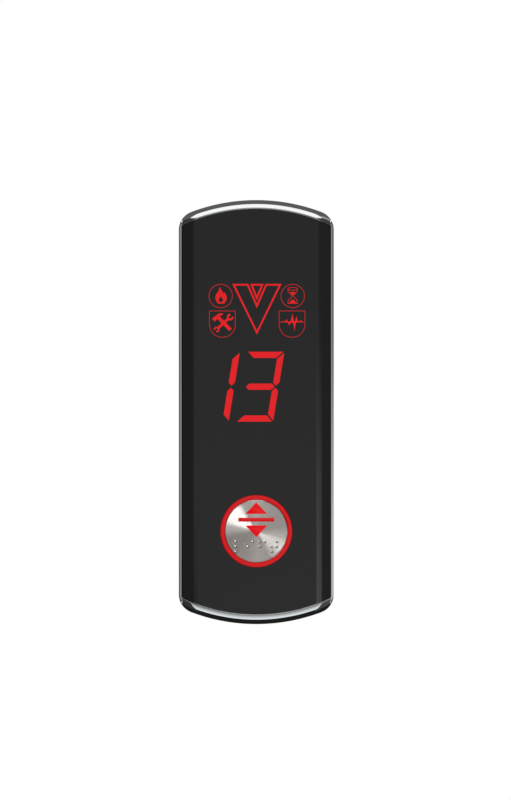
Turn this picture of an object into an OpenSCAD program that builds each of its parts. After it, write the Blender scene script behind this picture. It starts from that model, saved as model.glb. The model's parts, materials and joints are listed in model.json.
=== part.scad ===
// Lift landing call panel: a bowed chrome frame with a dark formed lens, a red floor display, a box of
// lit signs and one round push button, all hung on a steel wall plate.
// Every piece is drawn lying on its back, with x across, y up the wall and z out of the wall, and is
// then stood up, so that the finished panel has its wall face at Y = 0 and looks along -Y.

/* [Panel] */
// Width across the straight sides
panel_w = 77.5; // [72:0.5:90]
// Height over the bowed ends
panel_h = 212; // [206:1:250]
// Depth from the wall to the flat of the front
panel_d = 22; // [21:0.5:28]
// Radius of the bowed ends
bow_r = 92; // [80:1:130]
// Radius of the four corners
corner_r = 9.5; // [6:0.5:12]
// Width of the slope along each side of the front
slope_w = 7.5; // [5:0.5:9]
// Angle of that slope
slope_angle = 27; // [15:1:32]
// Radius of the bend between the flat and the slope
bend_r = 5; // [2:0.5:7]

/* [Frame] */
// Width of the rim beside the lens
side_rim = 1.75; // [1.5:0.05:2.5]
// Width of the rounded band above and below the lens
end_rim = 4.8; // [4:0.1:6.5]
// Radius of the rounded edge of the side rims
rim_r = 1.75; // [1:0.05:2.5]
// Thickness of the side walls
side_wall = 1.75; // [1.5:0.05:2.5]
// Thickness of the end walls
end_wall = 3; // [2.5:0.1:4]
// Width of the ledge that carries the lens
ledge_w = 2.2; // [1.5:0.1:3]
// Thickness of that ledge
ledge_t = 2; // [1.5:0.1:3]
// Diameter of the screw bosses
boss_d = 6.5; // [6:0.1:8]

/* [Lens] */
// Thickness of the lens
lens_t = 2.5; // [2:0.1:3]
// How far the lens lies below the frame
lens_recess = 0.3; // [0.1:0.05:0.5]
// Thickness of the gasket under the lens
gasket_t = 0.5; // [0.3:0.1:1]

/* [Wall plate] */
// Thickness of the steel plate
wall_plate_t = 1.5; // [1:0.1:2]
// Distance between wall screw holes, across
wall_hole_dx = 46; // [40:1:50]
// Distance between wall screw holes, upright
wall_hole_dy = 150; // [120:1:155]
// Diameter of the wall screw holes
wall_hole_d = 4.5; // [4:0.1:6]
// Height of the cable hole from the middle of the panel
cable_y = -25; // [-28:0.5:-22]
// Bore of the cable bushing
cable_bore_d = 14; // [10:0.5:16]
// Width of each hanging hook
hook_w = 9; // [6:0.5:12]
// Distance of each hook from the middle
hook_x = 14; // [10:0.5:16]

/* [Board] */
// Free depth between the wall plate and the board
rear_space = 6.5; // [6.2:0.1:7.5]
// Thickness of the board
board_t = 1.6; // [1:0.1:2]
// Gap between the board and the side walls
board_side_gap = 2; // [1:0.1:3]
// Distance from the panel's ends to the board's ends
board_end_gap = 20; // [16:0.5:21]

/* [Display] */
// Height of the digits
digit_h = 34.5; // [28:0.5:36]
// Width of a whole digit
digit_w = 17.9; // [15:0.1:19]
// Stroke of the digits
digit_stroke = 3.1; // [2.5:0.1:3.5]
// Slant of the digits
digit_slant = 8.6; // [0:0.2:10]
// Distance from one digit to the next
digit_pitch = 22.2; // [21:0.1:23]
// Gap between neighbouring strokes
digit_gap = 0.45; // [0.35:0.05:0.8]
// Middle of the units digit, across
digit_x = 1.65; // [0:0.05:4]
// Middle of the digits, upright
digit_y = 12.8; // [11:0.1:14]

/* [Signs] */
// Distance of the sign columns from the middle
sign_x = 17.75; // [17:0.05:19]
// Height of the round signs from the middle of the panel
round_sign_y = 58.25; // [58:0.05:60]
// Radius of the round signs
round_sign_r = 6.2; // [5.5:0.1:6.4]
// Height of the top of the shield signs
shield_top_y = 51.1; // [50.5:0.05:51.2]
// Width of the shield signs
shield_w = 13.7; // [12:0.1:14]
// Height of the shield signs
shield_h = 14; // [13:0.1:14.5]
// Width of the direction arrow
arrow_w = 22.5; // [20:0.1:22.5]
// Top of the direction arrow
arrow_top_y = 64; // [63:0.1:65]
// Height of the direction arrow
arrow_h = 25.6; // [22:0.1:26]

/* [Button] */
// Height of the button's middle above the bottom end of the panel
button_up = 46.5; // [45:0.1:48]
// Diameter of the push plate
push_plate_d = 31.2; // [30:0.1:32]
// Thickness of the push plate
push_plate_t = 1.2; // [1:0.1:1.5]
// How far the push plate stands proud of the lens
push_plate_proud = 0.8; // [0.5:0.1:1.5]
// Width of the halo ring
halo_w = 2.1; // [1.8:0.1:2.5]
// How far the halo ring stands proud of the lens
halo_proud = 0.6; // [0.3:0.1:1]
// Travel of the button
button_travel = 1.2; // [0.8:0.1:1.3]
// Wire of the return spring
spring_wire = 0.7; // [0.5:0.05:0.8]
// Mean radius of the return spring
spring_r = 6.6; // [6:0.1:7.5]
// Turns of the return spring
spring_turns = 2.5; // [2:0.5:2.5]
// Radius of the plunger's stem
stem_r = 3; // [2.5:0.1:3.4]
// Height of the switch body above the board
switch_h = 3.5; // [3:0.1:3.8]

/* [Clearances] */
// Gap round the lens and round the halo ring
lens_gap = 0.1; // [0.05:0.05:0.3]
// Gap between the push plate and the halo ring
plate_gap = 0.2; // [0.15:0.05:0.4]
// Running gap of the plunger's stem
stem_gap = 0.1; // [0.06:0.01:0.15]
// Gap of light guides and inlays in their windows
inlay_gap = 0.06; // [0.04:0.01:0.1]
// Gap of a screw in its hole
screw_gap = 0.05; // [0.05:0.01:0.2]

/* [Hidden] */
$fn = 64;

// Reach of cutting tools past the faces that they cut
past = 2;
// Middle of the bow's circle
bow_y = panel_h / 2 - bow_r;

// Depths from the wall, back to front
board_back = wall_plate_t + rear_space;
board_front = board_back + board_t;
lens_front = panel_d - lens_recess;
lens_back = lens_front - lens_t;
ledge_drop = lens_recess + lens_t + gasket_t;
film_t = 0.25;
film_air = 0.35;
light_box_front = lens_back - film_air - film_t;

// Middle of the right top corner's arc, tangent to the side and to the bow
corner_c = let (x = panel_w / 2 - corner_r) [x, bow_y + sqrt(pow(bow_r - corner_r, 2) - x * x)];
// Roundings stand this far past true tangency, so that faces cross cleanly
ease = 0.01;

// Section of the rounded end bands: it starts just outside the end wall and crowns under the lens edge
nose_over = 0.2;
nose_under = 1.4;
nose_edge = 0.25;
nose_r = end_rim + nose_over + nose_under;
nose_x = bow_r + nose_over - nose_r;
nose_z = panel_d - sqrt(nose_r * nose_r - pow(bow_r - end_rim - nose_edge - nose_x, 2));

// Hooks at the top and the lock screw at the bottom
hook_rib_z = 3.5;
hook_rib_t = 2;
hook_gap = 0.3;
hook_rib_low = 4.4;
hook_rib_bite = 2;
hook_rib_side = 0.5;
hook_rib_root = 1;
plate_end_gap = 3;
plate_side_gap = 0.5;
lock_z = 6;
lock_tab_w = 12;
lock_tab_h = 10;
lock_tab_in = 0.4;
lock_tab_y = -panel_h / 2 + end_wall + plate_end_gap + lock_tab_in;
bushing_wall = 3;
bushing_flange = 2.5;
bushing_flange_t = 1.5;

// Screws: shank and head radii and head heights
m3_r = 1.45;
m3_head_r = 2.75;
m3_head_h = 1.7;
m3_drive_r = 1.15;
m3_drive_deep = 1;
screw_short = 0.5;
head_gap = 0.2;

// Board and what stands on it
board_w = panel_w - 2 * (side_wall + board_side_gap);
board_h = panel_h - 2 * board_end_gap;
board_corner_r = 2;
boss_inset_x = 3;
boss_inset_y = 8;
boss_x = board_w / 2 - boss_inset_x;
boss_y = board_h / 2 - boss_inset_y;
boss_cap = 1.2;
rib_t = 2.2;
// Bosses and ribs end in the middle of the ledge's thickness, half way across it
boss_top = panel_d - ledge_drop - ledge_t / 2 - (slope_w - side_rim - ledge_w / 2) * tan(slope_angle);
screw_bite = boss_top - boss_cap - board_front;
led_size = [2, 1.25, 0.8];
reflector_margin = 2.6;
light_box_margin = 1.3;
light_box_corner_r = 2;
sign_led_dx = 2.5;
// Lamps behind the arrow, as shares of its width and height
arrow_led_at = [[-0.25, 0.15], [0.25, 0.15], [0, 0.25], [0, 0.6]];
reflector_corner_r = 1;
shield_arc_r = shield_w / 2;
buzzer_r = 6;
buzzer_h = 6.5;
buzzer_xy = [13 - board_w / 2, -24];
buzzer_port_r = 1;
buzzer_port_deep = 1;
chip_w = 10;
chip_h = 1.4;
chip_lift = 0.1;
chip_xy = [board_w / 2 - 15, -24];
chip_mark_r = 0.5;
chip_mark_in = 1.2;
lead_w = 0.4;
lead_l = 1;
lead_t = 0.3;
lead_pitch = 0.8;
leads_each_way = 5;
header_poles = 8;
header_pitch = 2.5;
header_deep = 8;
header_clear = 4.5;
header_y = cable_y + cable_bore_d / 2 + bushing_wall + bushing_flange + header_clear + header_deep / 2;
header_h = 5.8;
header_wall = 0.8;
header_end_wall = 1.5;
header_key_w = 4;
pin_w = 0.64;
pin_set_back = 1.2;

// Button: place and radii
button_y = button_up - panel_h / 2;
plate_r = push_plate_d / 2;
halo_in_r = plate_r + plate_gap;
halo_r = halo_in_r + halo_w;
halo_air_in = 0.6;
halo_air_out = 0.3;
inner_wall_r = halo_in_r - halo_air_in;
inner_wall_t = 1.6;
outer_wall_r = halo_r + halo_air_out;
outer_wall_t = 2;
plunger_air = 0.8;
plunger_r = halo_in_r - plunger_air;
sleeve_wall = 1.5;
leg_r = 9;
leg_t = 1.6;
leg_w = 3;
leg_gap = 0.25;
leg_angles = [30, 150, 270];
hook_reach = 1.2;
hook_t = 1.3;
ear_r = 3;
ear_angles = [90, 210, 330];
ear_wall = 0.4;
ear_at = outer_wall_r + outer_wall_t + ear_wall + m3_r + screw_gap;
ear_h = 3;
bridge_w = 2.5;
bridge_count = 6;
bridge_turn = 15;
halo_led_count = 12;

// Button: depths
web_rise = 4.6;
web_t = 1.2;
sleeve_rise = 1.6;
bridge_h = 2;
halo_edge_r = 0.4;
foam_t = 0.6;
plate_edge = 0.25;
diffuser_t = 1.3;
plunger_t = 1.3;
rest_gap = 0.05;
plate_front = lens_front + push_plate_proud;
plate_back = plate_front - push_plate_t;
diffuser_back = plate_back - diffuser_t;
plunger_back = diffuser_back - plunger_t;
web_back = board_front + web_rise;
web_front = web_back + web_t;
switch_top = board_front + switch_h;
switch_w = 6;
terminal_y = 1.9;
terminal_l = 1.5;
terminal_w = 0.7;
terminal_h = 1.2;
terminal_t = 0.3;
switch_stem_r = 1.75;
switch_stem_gap = 0.15;
switch_stem_sunk = 0.5;
stop_gap = 0.1;
wall_air = 0.3;
stem_end = switch_top + button_travel + stop_gap;
inner_wall_front = plunger_back - button_travel - wall_air;

// Signs on the push plate: base and apex heights, half widths, and the bar between them
up_base = 8.75;
up_apex = 14.4;
down_base = 2.85;
down_apex = -2.95;
sign_half_w = 5.3;
bar_y = 5.8;
bar_w = 18;
bar_h = 1.9;

// Raised dots: standard spacing, with four cells that spell a plain word for this machine
dot_pitch = 2.5;
cell_pitch = 6;
dot_r = 0.75;
dot_h = 0.6;
dot_ball_r = (dot_r * dot_r + dot_h * dot_h) / (2 * dot_h);
dot_first = [-(3 * cell_pitch + dot_pitch) / 2, -5.3];
dot_cells = [[1, 2, 3], [2, 4], [1, 2, 4], [2, 3, 4, 5]];

// Shared forms

module stand() {
  rotate([90, 0, 0]) children();
}

module four_corners() {
  for (mx = [0, 1], my = [0, 1])
    mirror([mx, 0, 0]) mirror([0, my, 0]) children();
}

module both_sides() {
  for (mx = [0, 1]) mirror([mx, 0, 0]) children();
}

// Carries a section in x and z along the panel's height
module upright() {
  rotate([90, 0, 0]) linear_extrude(panel_h + 2 * past, center = true) children();
}

// Flat shape with straight sides and bowed ends, taken in from the panel's edge
module bowed(side_in, end_in) {
  w = panel_w - 2 * side_in;
  top = panel_h / 2 - end_in;
  for (m = [0, 1]) mirror([0, m]) intersection() {
    translate([-w / 2, -past]) square([w, top + past]);
    translate([0, bow_y]) circle(bow_r - end_in);
  }
}

// What a rounding takes away: the wedge between two directions, outside a circle round c
module rounding(c, r, from, to) {
  mid = (from + to) / 2;
  difference() {
    polygon([
      c, c + 2 * r * [cos(from), sin(from)],
      c + 3 * r * [cos(mid), sin(mid)], c + 2 * r * [cos(to), sin(to)]
    ]);
    translate(c) circle(r + ease);
  }
}

// The panel's outline with its rounded corners
module panel_outline() difference() {
  bowed(0, 0);
  four_corners() rounding(corner_c, corner_r, atan2(corner_c.y - bow_y, corner_c.x), 0);
}

// Section under the front: flat in the middle, a bend, and a slope on each side
module front_section(drop) difference() {
  x = panel_w / 2 - slope_w;
  top = panel_d - drop;
  far = panel_w / 2 + past;
  foot = top - (far - x) * tan(slope_angle);
  polygon([[-far, -past], [-far, foot], [-x, top], [x, top], [far, foot], [far, -past]]);
  both_sides() rounding(
    [x - bend_r * tan(slope_angle / 2), top - bend_r], bend_r, 90, 90 - slope_angle
  );
}

// The frame's own section, with the outer edge of each side rim rounded
module frame_section() difference() {
  x = panel_w / 2 - rim_r;
  front_section(0);
  both_sides() rounding(
    [x, panel_d - (x - panel_w / 2 + slope_w) * tan(slope_angle) - rim_r / cos(slope_angle)],
    rim_r, 90 - slope_angle, 0
  );
}

module screw(shank, shank_r = m3_r) {
  difference() {
    union() {
      cylinder(r = m3_head_r, h = m3_head_h);
      translate([0, 0, m3_head_h]) cylinder(r = shank_r, h = shank);
    }
    translate([0, 0, -past]) cylinder(r = m3_drive_r, h = past + m3_drive_deep, $fn = 6);
  }
}

module led() {
  translate([0, 0, board_front + led_size.z / 2]) cube(led_size, center = true);
}

// Rounded plate lying at z = 0
module round_plate(w, h, t, r) {
  linear_extrude(t) {
    square([w - 2 * r, h], center = true);
    square([w, h - 2 * r], center = true);
    for (sx = [-1, 1], sy = [-1, 1])
      translate([sx * (w / 2 - r), sy * (h / 2 - r)]) circle(r);
  }
}

// Wall side

hook_tab_y = panel_h / 2 - end_wall - hook_rib_low - hook_rib_bite - wall_plate_t;

module wall_hook() {
  lip_z = hook_rib_z + hook_rib_t + hook_gap;
  translate([hook_x - hook_w / 2, hook_tab_y, 0]) {
    cube([hook_w, wall_plate_t, lip_z + wall_plate_t]);
    translate([0, 0, lip_z]) cube([hook_w, wall_plate_t + 2 * hook_rib_bite, wall_plate_t]);
  }
}

module wall_plate() color("gainsboro") stand() difference() {
  union() {
    linear_extrude(wall_plate_t) bowed(side_wall + plate_side_gap, end_wall + plate_end_gap);
    both_sides() wall_hook();
    translate([-lock_tab_w / 2, lock_tab_y, 0]) cube([lock_tab_w, wall_plate_t, lock_tab_h]);
  }
  four_corners() translate([wall_hole_dx / 2, wall_hole_dy / 2, -past])
    cylinder(d = wall_hole_d, h = wall_plate_t + 2 * past);
  translate([0, cable_y, -past])
    cylinder(d = cable_bore_d + 2 * bushing_wall, h = wall_plate_t + 2 * past);
  translate([0, lock_tab_y - past, lock_z]) rotate([-90, 0, 0])
    cylinder(r = m3_r + screw_gap, h = wall_plate_t + 2 * past);
}

module cable_bushing() color("dimgray") stand() translate([0, cable_y, 0]) difference() {
  union() {
    cylinder(d = cable_bore_d + 2 * (bushing_wall - inlay_gap), h = wall_plate_t);
    translate([0, 0, wall_plate_t])
      cylinder(d = cable_bore_d + 2 * (bushing_wall + bushing_flange), h = bushing_flange_t);
  }
  translate([0, 0, -past])
    cylinder(d = cable_bore_d, h = wall_plate_t + bushing_flange_t + 2 * past);
}

module lock_screw_place() {
  translate([0, -panel_h / 2 + head_gap, lock_z]) rotate([-90, 0, 0]) children();
}

module lock_screw() color("silver") stand()
  lock_screw_place() screw(lock_tab_y + panel_h / 2 + wall_plate_t + past - m3_head_h);

// Frame

module frame_envelope() difference() {
  intersection() {
    linear_extrude(panel_d + past) panel_outline();
    upright() frame_section();
  }
  half_angle = asin(panel_w / 2 / bow_r) + past;
  for (m = [0, 1]) mirror([0, m, 0]) translate([0, bow_y, 0]) rotate(90 - half_angle)
    rotate_extrude(angle = 2 * half_angle) difference() {
      translate([nose_x, nose_z]) square([nose_r + past, nose_r + past]);
      translate([nose_x, nose_z]) circle(nose_r);
    }
}

module lens_pocket() difference() {
  linear_extrude(panel_d + past) bowed(side_rim, end_rim);
  upright() front_section(ledge_drop);
}

module frame_cavity() intersection() {
  translate([0, 0, -past]) linear_extrude(panel_d) bowed(side_wall, end_wall);
  upright() front_section(ledge_drop + ledge_t);
}

// Screw boss for the board, with a rib to the side wall
module board_boss() {
  translate([boss_x, boss_y, board_front]) {
    cylinder(d = boss_d, h = boss_top - board_front);
    translate([0, -rib_t / 2, 0])
      cube([panel_w / 2 - side_wall / 2 - boss_x, rib_t, boss_top - board_front]);
  }
}

// Rib inside the top wall that drops behind a wall plate hook
module hook_rib() {
  bottom = panel_h / 2 - end_wall - hook_rib_low;
  translate([hook_x - hook_w / 2 - hook_rib_side, bottom, hook_rib_z])
    cube([hook_w + 2 * hook_rib_side, hook_rib_low + hook_rib_root, hook_rib_t]);
}

module chrome_frame() color("lightgray") stand() difference() {
  union() {
    difference() {
      frame_envelope();
      lens_pocket();
      frame_cavity();
      linear_extrude(panel_d + past) bowed(side_rim + ledge_w, end_rim + ledge_w);
    }
    four_corners() board_boss();
    both_sides() hook_rib();
  }
  four_corners() translate([boss_x, boss_y, board_front - past])
    cylinder(r = m3_r + screw_gap, h = screw_bite + past);
  lock_screw_place() {
    translate([0, 0, -past]) cylinder(r = m3_head_r + head_gap, h = m3_head_h + past);
    cylinder(r = m3_r + head_gap, h = end_wall + past);
  }
}

// Lens

module lens_layer(from, to) intersection() {
  linear_extrude(panel_d) bowed(side_rim + lens_gap, end_rim + lens_gap);
  upright() difference() {
    front_section(from);
    front_section(to);
  }
}

module lens_gasket() color("black") stand() difference() {
  lens_layer(lens_recess + lens_t, ledge_drop);
  linear_extrude(panel_d) bowed(side_rim + ledge_w, end_rim + ledge_w);
}

module front_lens() color("#222224") stand() difference() {
  lens_layer(lens_recess, lens_recess + lens_t);
  translate([0, button_y, 0]) cylinder(r = halo_r + lens_gap, h = panel_d + past);
}

// Board

module main_board() color("darkgreen") stand() difference() {
  translate([0, 0, board_back]) round_plate(board_w, board_h, board_t, board_corner_r);
  four_corners() translate([boss_x, boss_y, 0]) cylinder(r = m3_r + head_gap, h = panel_d);
  for (a = ear_angles) translate([0, button_y, 0]) rotate(a) translate([ear_at, 0, 0])
    cylinder(r = m3_r + head_gap, h = panel_d);
}

module board_screws() color("silver") stand() four_corners()
  translate([boss_x, boss_y, board_back - m3_head_h]) screw(board_t + screw_bite - screw_short);

module buzzer() color("#1c1c1c") stand() translate([buzzer_xy.x, buzzer_xy.y, board_front]) difference() {
  cylinder(r = buzzer_r, h = buzzer_h);
  translate([0, 0, buzzer_h - buzzer_port_deep]) cylinder(r = buzzer_port_r, h = past);
}

module control_chip() color("#2b2b2b") stand() translate([chip_xy.x, chip_xy.y, board_front]) {
  translate([-chip_w / 2, -chip_w / 2, chip_lift]) difference() {
    cube([chip_w, chip_w, chip_h]);
    translate([chip_mark_in, chip_w - chip_mark_in, chip_h - 2 * chip_lift])
      cylinder(r = chip_mark_r, h = past);
  }
  for (turn = [0 : 90 : 270], i = [-leads_each_way : leads_each_way]) rotate(turn)
    translate([i * lead_pitch - lead_w / 2, chip_w / 2 - chip_lift, 0])
      cube([lead_w, lead_l + chip_lift, lead_t]);
}

// Socket on the back of the board for the landing cable's plug, open downwards
header_w = header_poles * header_pitch + 2 * header_wall;

module wire_header() color("ivory") stand()
  translate([-header_w / 2, header_y - header_deep / 2, board_back - header_h]) difference() {
    cube([header_w, header_deep, header_h]);
    translate([header_wall, -past, header_wall])
      cube([header_w - 2 * header_wall, header_deep - header_end_wall + past, header_h - 2 * header_wall]);
    translate([(header_w - header_key_w) / 2, -past, -past])
      cube([header_key_w, header_deep - 2 * header_end_wall + past, header_wall + 2 * past]);
  }

module header_pins() color("goldenrod") stand() for (i = [0 : header_poles - 1])
  translate([
    (i - (header_poles - 1) / 2) * header_pitch - pin_w / 2,
    header_y - header_deep / 2 + pin_set_back,
    board_back - header_h / 2 - pin_w / 2
  ]) cube([pin_w, header_deep - header_end_wall - pin_set_back, pin_w]);

// Display

// Points of one stroke of a digit, grown by g past its drawn edge; the digit's middle is at the origin
function stroke_points(name, g) = let (
  w = digit_w, h = digit_h, s = digit_stroke,
  m = (digit_gap / 2 - g) * sqrt(2),
  bar = [
    [m - g, h + g], [w - m + g, h + g], [w - s - g - m, h - s - g], [s + g + m, h - s - g]
  ],
  post = [
    [w + g, h + g - m], [w - s - g, h - s - g - m], [w - s - g, h / 2 + s / 2 + g + m],
    [w - s / 2, h / 2 + m], [w + g, h / 2 + s / 2 + g + m]
  ],
  middle = [
    [s / 2 + m, h / 2], [s + g + m, h / 2 + s / 2 + g], [w - s - g - m, h / 2 + s / 2 + g],
    [w - s / 2 - m, h / 2], [w - s - g - m, h / 2 - s / 2 - g], [s + g + m, h / 2 - s / 2 - g]
  ],
  p = name == "a" || name == "d" ? bar : name == "g" ? middle : post,
  left = name == "e" || name == "f",
  low = name == "c" || name == "d" || name == "e"
) [for (q = p) let (
  x = (left ? w - q.x : q.x) - w / 2,
  y = (low ? h - q.y : q.y) - h / 2
) [x + y * tan(digit_slant), y]];

// Draws the named strokes of the units digit, or of the half digit to its left
module strokes(names, g, tens = false) {
  for (name = names) translate([digit_x - (tens ? digit_pitch : 0), digit_y])
    polygon(stroke_points(name, g));
}

digit_left = digit_x + digit_w / 2 - digit_pitch - digit_stroke - digit_h / 2 * tan(digit_slant);
digit_right = digit_x + digit_w / 2 + digit_h / 2 * tan(digit_slant);
reflector_x = (digit_left + digit_right) / 2;

module digit_reflector() color("#30302e") stand() difference() {
  translate([reflector_x, digit_y, board_front]) round_plate(
    digit_right - digit_left + 2 * reflector_margin, digit_h + 2 * reflector_margin,
    light_box_front - board_front, reflector_corner_r
  );
  translate([0, 0, board_front - past]) linear_extrude(panel_d) {
    strokes(["a", "b", "c", "d", "e", "f", "g"], inlay_gap);
    strokes(["b", "c"], inlay_gap, tens = true);
  }
}

guide_lift = 2;
guide_back = board_front + guide_lift;

module digit_guide() {
  translate([0, 0, guide_back]) linear_extrude(light_box_front + film_t - guide_back) children();
}

// The strokes that are lit, which read 13
module digit_segments_lit() color("red") stand() digit_guide() {
  strokes(["a", "b", "c", "d", "g"], 0);
  strokes(["b", "c"], 0, tens = true);
}

module digit_segments_dark() color("#5a1414") stand() digit_guide() strokes(["e", "f"], 0);

// Middle of a stroke, as the mean of its points
function stroke_middle(name) = let (p = stroke_points(name, 0), n = len(p))
  [for (i = [0, 1]) [for (q = p) 1] * [for (q = p) q[i]] / n];

module stroke_led(name, dx) {
  translate([digit_x + dx, digit_y] + stroke_middle(name))
    rotate(name == "a" || name == "d" || name == "g" ? 0 : 90) led();
}

module digit_leds() color("white") stand() {
  for (name = ["a", "b", "c", "d", "e", "f", "g"]) stroke_led(name, 0);
  for (name = ["b", "c"]) stroke_led(name, -digit_pitch);
}

// Signs

// A shield with a square top and a round foot
module shield() {
  translate([-shield_w / 2, shield_top_y - shield_h + shield_arc_r])
    square([shield_w, shield_h - shield_arc_r]);
  translate([0, shield_top_y - shield_h + shield_arc_r]) circle(shield_arc_r);
}

module sign_windows() {
  both_sides() translate([sign_x, 0]) {
    translate([0, round_sign_y]) circle(round_sign_r);
    shield();
  }
  polygon([[-arrow_w / 2, arrow_top_y], [arrow_w / 2, arrow_top_y], [0, arrow_top_y - arrow_h]]);
}

light_box_top = max(arrow_top_y, round_sign_y + round_sign_r) + light_box_margin;
light_box_bottom = min(arrow_top_y - arrow_h, shield_top_y - shield_h) - light_box_margin;
light_box_w = 2 * (sign_x + max(shield_w / 2, round_sign_r) + light_box_margin);
light_box_h = light_box_top - light_box_bottom;

module light_box_plate(back, t) {
  translate([0, (light_box_top + light_box_bottom) / 2, back])
    round_plate(light_box_w, light_box_h, t, light_box_corner_r);
}

module icon_light_box() color("whitesmoke") stand() difference() {
  light_box_plate(board_front, light_box_front - board_front);
  translate([0, 0, board_front - past]) linear_extrude(panel_d) sign_windows();
}

module icon_film() color("#3a1416") stand() light_box_plate(light_box_front, film_t);

module icon_leds() color("white") stand() {
  both_sides() translate([sign_x, 0, 0]) for (y = [round_sign_y, shield_top_y - shield_h / 2], dx = [-1, 1])
    translate([dx * sign_led_dx, y, 0]) led();
  for (at = arrow_led_at) translate([at.x * arrow_w, arrow_top_y - at.y * arrow_h, 0]) led();
}

// Button

module at_button() {
  translate([0, button_y, 0]) children();
}

module tube(r, t, from, to) {
  translate([0, 0, from]) difference() {
    cylinder(r = r, h = to - from);
    translate([0, 0, -past]) cylinder(r = r - t, h = to - from + 2 * past);
  }
}

module housing_ear(a) rotate(a) translate([0, 0, board_front]) difference() {
  union() {
    translate([ear_at, 0, 0]) cylinder(r = ear_r, h = ear_h);
    translate([outer_wall_r + outer_wall_t / 2, -ear_r, 0])
      cube([ear_at - outer_wall_r - outer_wall_t / 2, 2 * ear_r, ear_h]);
  }
  translate([ear_at, 0, -past]) cylinder(r = m3_r + screw_gap, h = ear_h + 2 * past);
}

module button_housing() color("#1d1d1f") stand() at_button() {
  tube(outer_wall_r + outer_wall_t, outer_wall_t, board_front, lens_back - foam_t);
  tube(inner_wall_r, inner_wall_t, board_front, inner_wall_front);
  for (i = [0 : bridge_count - 1]) rotate(bridge_turn + i * 360 / bridge_count)
    translate([inner_wall_r - inner_wall_t / 2, -bridge_w / 2, board_front])
      cube([outer_wall_r - inner_wall_r + (inner_wall_t + outer_wall_t) / 2, bridge_w, bridge_h]);
  for (a = ear_angles) housing_ear(a);
  difference() {
    union() {
      translate([0, 0, web_back]) cylinder(r = inner_wall_r - inner_wall_t / 2, h = web_t);
      translate([0, 0, web_back]) cylinder(r = stem_r + stem_gap + sleeve_wall, h = web_t + sleeve_rise);
    }
    translate([0, 0, web_back - past]) cylinder(r = stem_r + stem_gap, h = panel_d);
    for (a = leg_angles) rotate(a) translate([leg_r - leg_gap, -leg_w / 2 - leg_gap, web_back - past])
      cube([leg_t + 2 * leg_gap, leg_w + 2 * leg_gap, web_t + 2 * past]);
  }
}

module housing_screws() color("silver") stand() at_button() for (a = ear_angles) rotate(a)
  translate([ear_at, 0, board_back - m3_head_h]) screw(board_t + ear_h - screw_short);

module button_gasket() color("black") stand() at_button()
  tube(outer_wall_r + outer_wall_t, outer_wall_t, lens_back - foam_t, lens_back);

// Light ring with softly rounded front edges
module halo_ring() color("red") stand() at_button() rotate_extrude() {
  foot = board_front + bridge_h;
  front = lens_front + halo_proud;
  translate([halo_in_r, foot]) square([halo_w, front - halo_edge_r - foot]);
  translate([halo_in_r + halo_edge_r, foot]) square([halo_w - 2 * halo_edge_r, front - foot]);
  for (r = [halo_in_r + halo_edge_r, halo_r - halo_edge_r])
    translate([r, front - halo_edge_r]) circle(halo_edge_r);
}

module halo_leds() color("white") stand() at_button() for (i = [0 : halo_led_count - 1])
  rotate(i * 360 / halo_led_count) translate([halo_in_r + halo_w / 2, 0, 0]) rotate(90) led();

// Triangle on a base at height y0 with its apex at y1, grown by g on every side
module sign_triangle(y0, y1, g) {
  h = abs(y1 - y0);
  in_r = sign_half_w * h / (sign_half_w + norm([sign_half_w, h]));
  k = (in_r + g) / in_r;
  up = sign(y1 - y0);
  c = y0 + up * in_r;
  base = c + k * (y0 - c);
  polygon([[-k * sign_half_w, base], [k * sign_half_w, base], [0, c + k * (y1 - c)]]);
}

module plate_signs(g) {
  sign_triangle(up_base, up_apex, g);
  sign_triangle(down_base, down_apex, g);
  translate([0, bar_y]) square([bar_w + 2 * g, bar_h + 2 * g], center = true);
}

module raised_dots() {
  for (c = [0 : len(dot_cells) - 1], d = dot_cells[c]) translate([
    dot_first.x + c * cell_pitch + (d > 3 ? dot_pitch : 0),
    dot_first.y - ((d - 1) % 3) * dot_pitch,
    plate_front + dot_h - dot_ball_r
  ]) sphere(dot_ball_r);
}

module button_plate() color("silver") stand() at_button() difference() {
  union() {
    translate([0, 0, plate_back]) cylinder(r = plate_r, h = push_plate_t - plate_edge);
    translate([0, 0, plate_front - plate_edge])
      cylinder(r1 = plate_r, r2 = plate_r - plate_edge, h = plate_edge);
    raised_dots();
  }
  translate([0, 0, plate_back - past]) linear_extrude(push_plate_t + 2 * past) plate_signs(inlay_gap);
}

module symbol_diffuser() color("red") stand() at_button() {
  translate([0, 0, diffuser_back]) cylinder(r = plunger_r, h = diffuser_t);
  translate([0, 0, plate_back]) linear_extrude(push_plate_t) plate_signs(0);
}

module plunger_leg() {
  hook_back = web_back - rest_gap - hook_t;
  translate([leg_r, -leg_w / 2, hook_back]) {
    cube([leg_t, leg_w, plunger_back + plunger_t / 2 - hook_back]);
    cube([leg_t + hook_reach, leg_w, hook_t]);
  }
}

module button_plunger() color("whitesmoke") stand() at_button() {
  translate([0, 0, plunger_back]) cylinder(r = plunger_r, h = plunger_t);
  translate([0, 0, stem_end]) cylinder(r = stem_r, h = plunger_back + plunger_t / 2 - stem_end);
  for (a = leg_angles) rotate(a) plunger_leg();
}

// Coil spring between the housing's web and the plunger, swept as one closed tube
spring_sides = 8;
spring_steps = 20;
spring_low = web_front + spring_wire / 2 + rest_gap;
spring_high = plunger_back - spring_wire / 2 - rest_gap;
spring_rings = spring_turns * spring_steps;

function spring_point(i, j) = let (
  turn = i * 360 / spring_steps,
  side = (j + 0.5) * 360 / spring_sides,
  r = spring_r + spring_wire / 2 * cos(side),
  z = spring_low + (spring_high - spring_low) * i / spring_rings + spring_wire / 2 * sin(side)
) [r * cos(turn), r * sin(turn), z];

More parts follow.
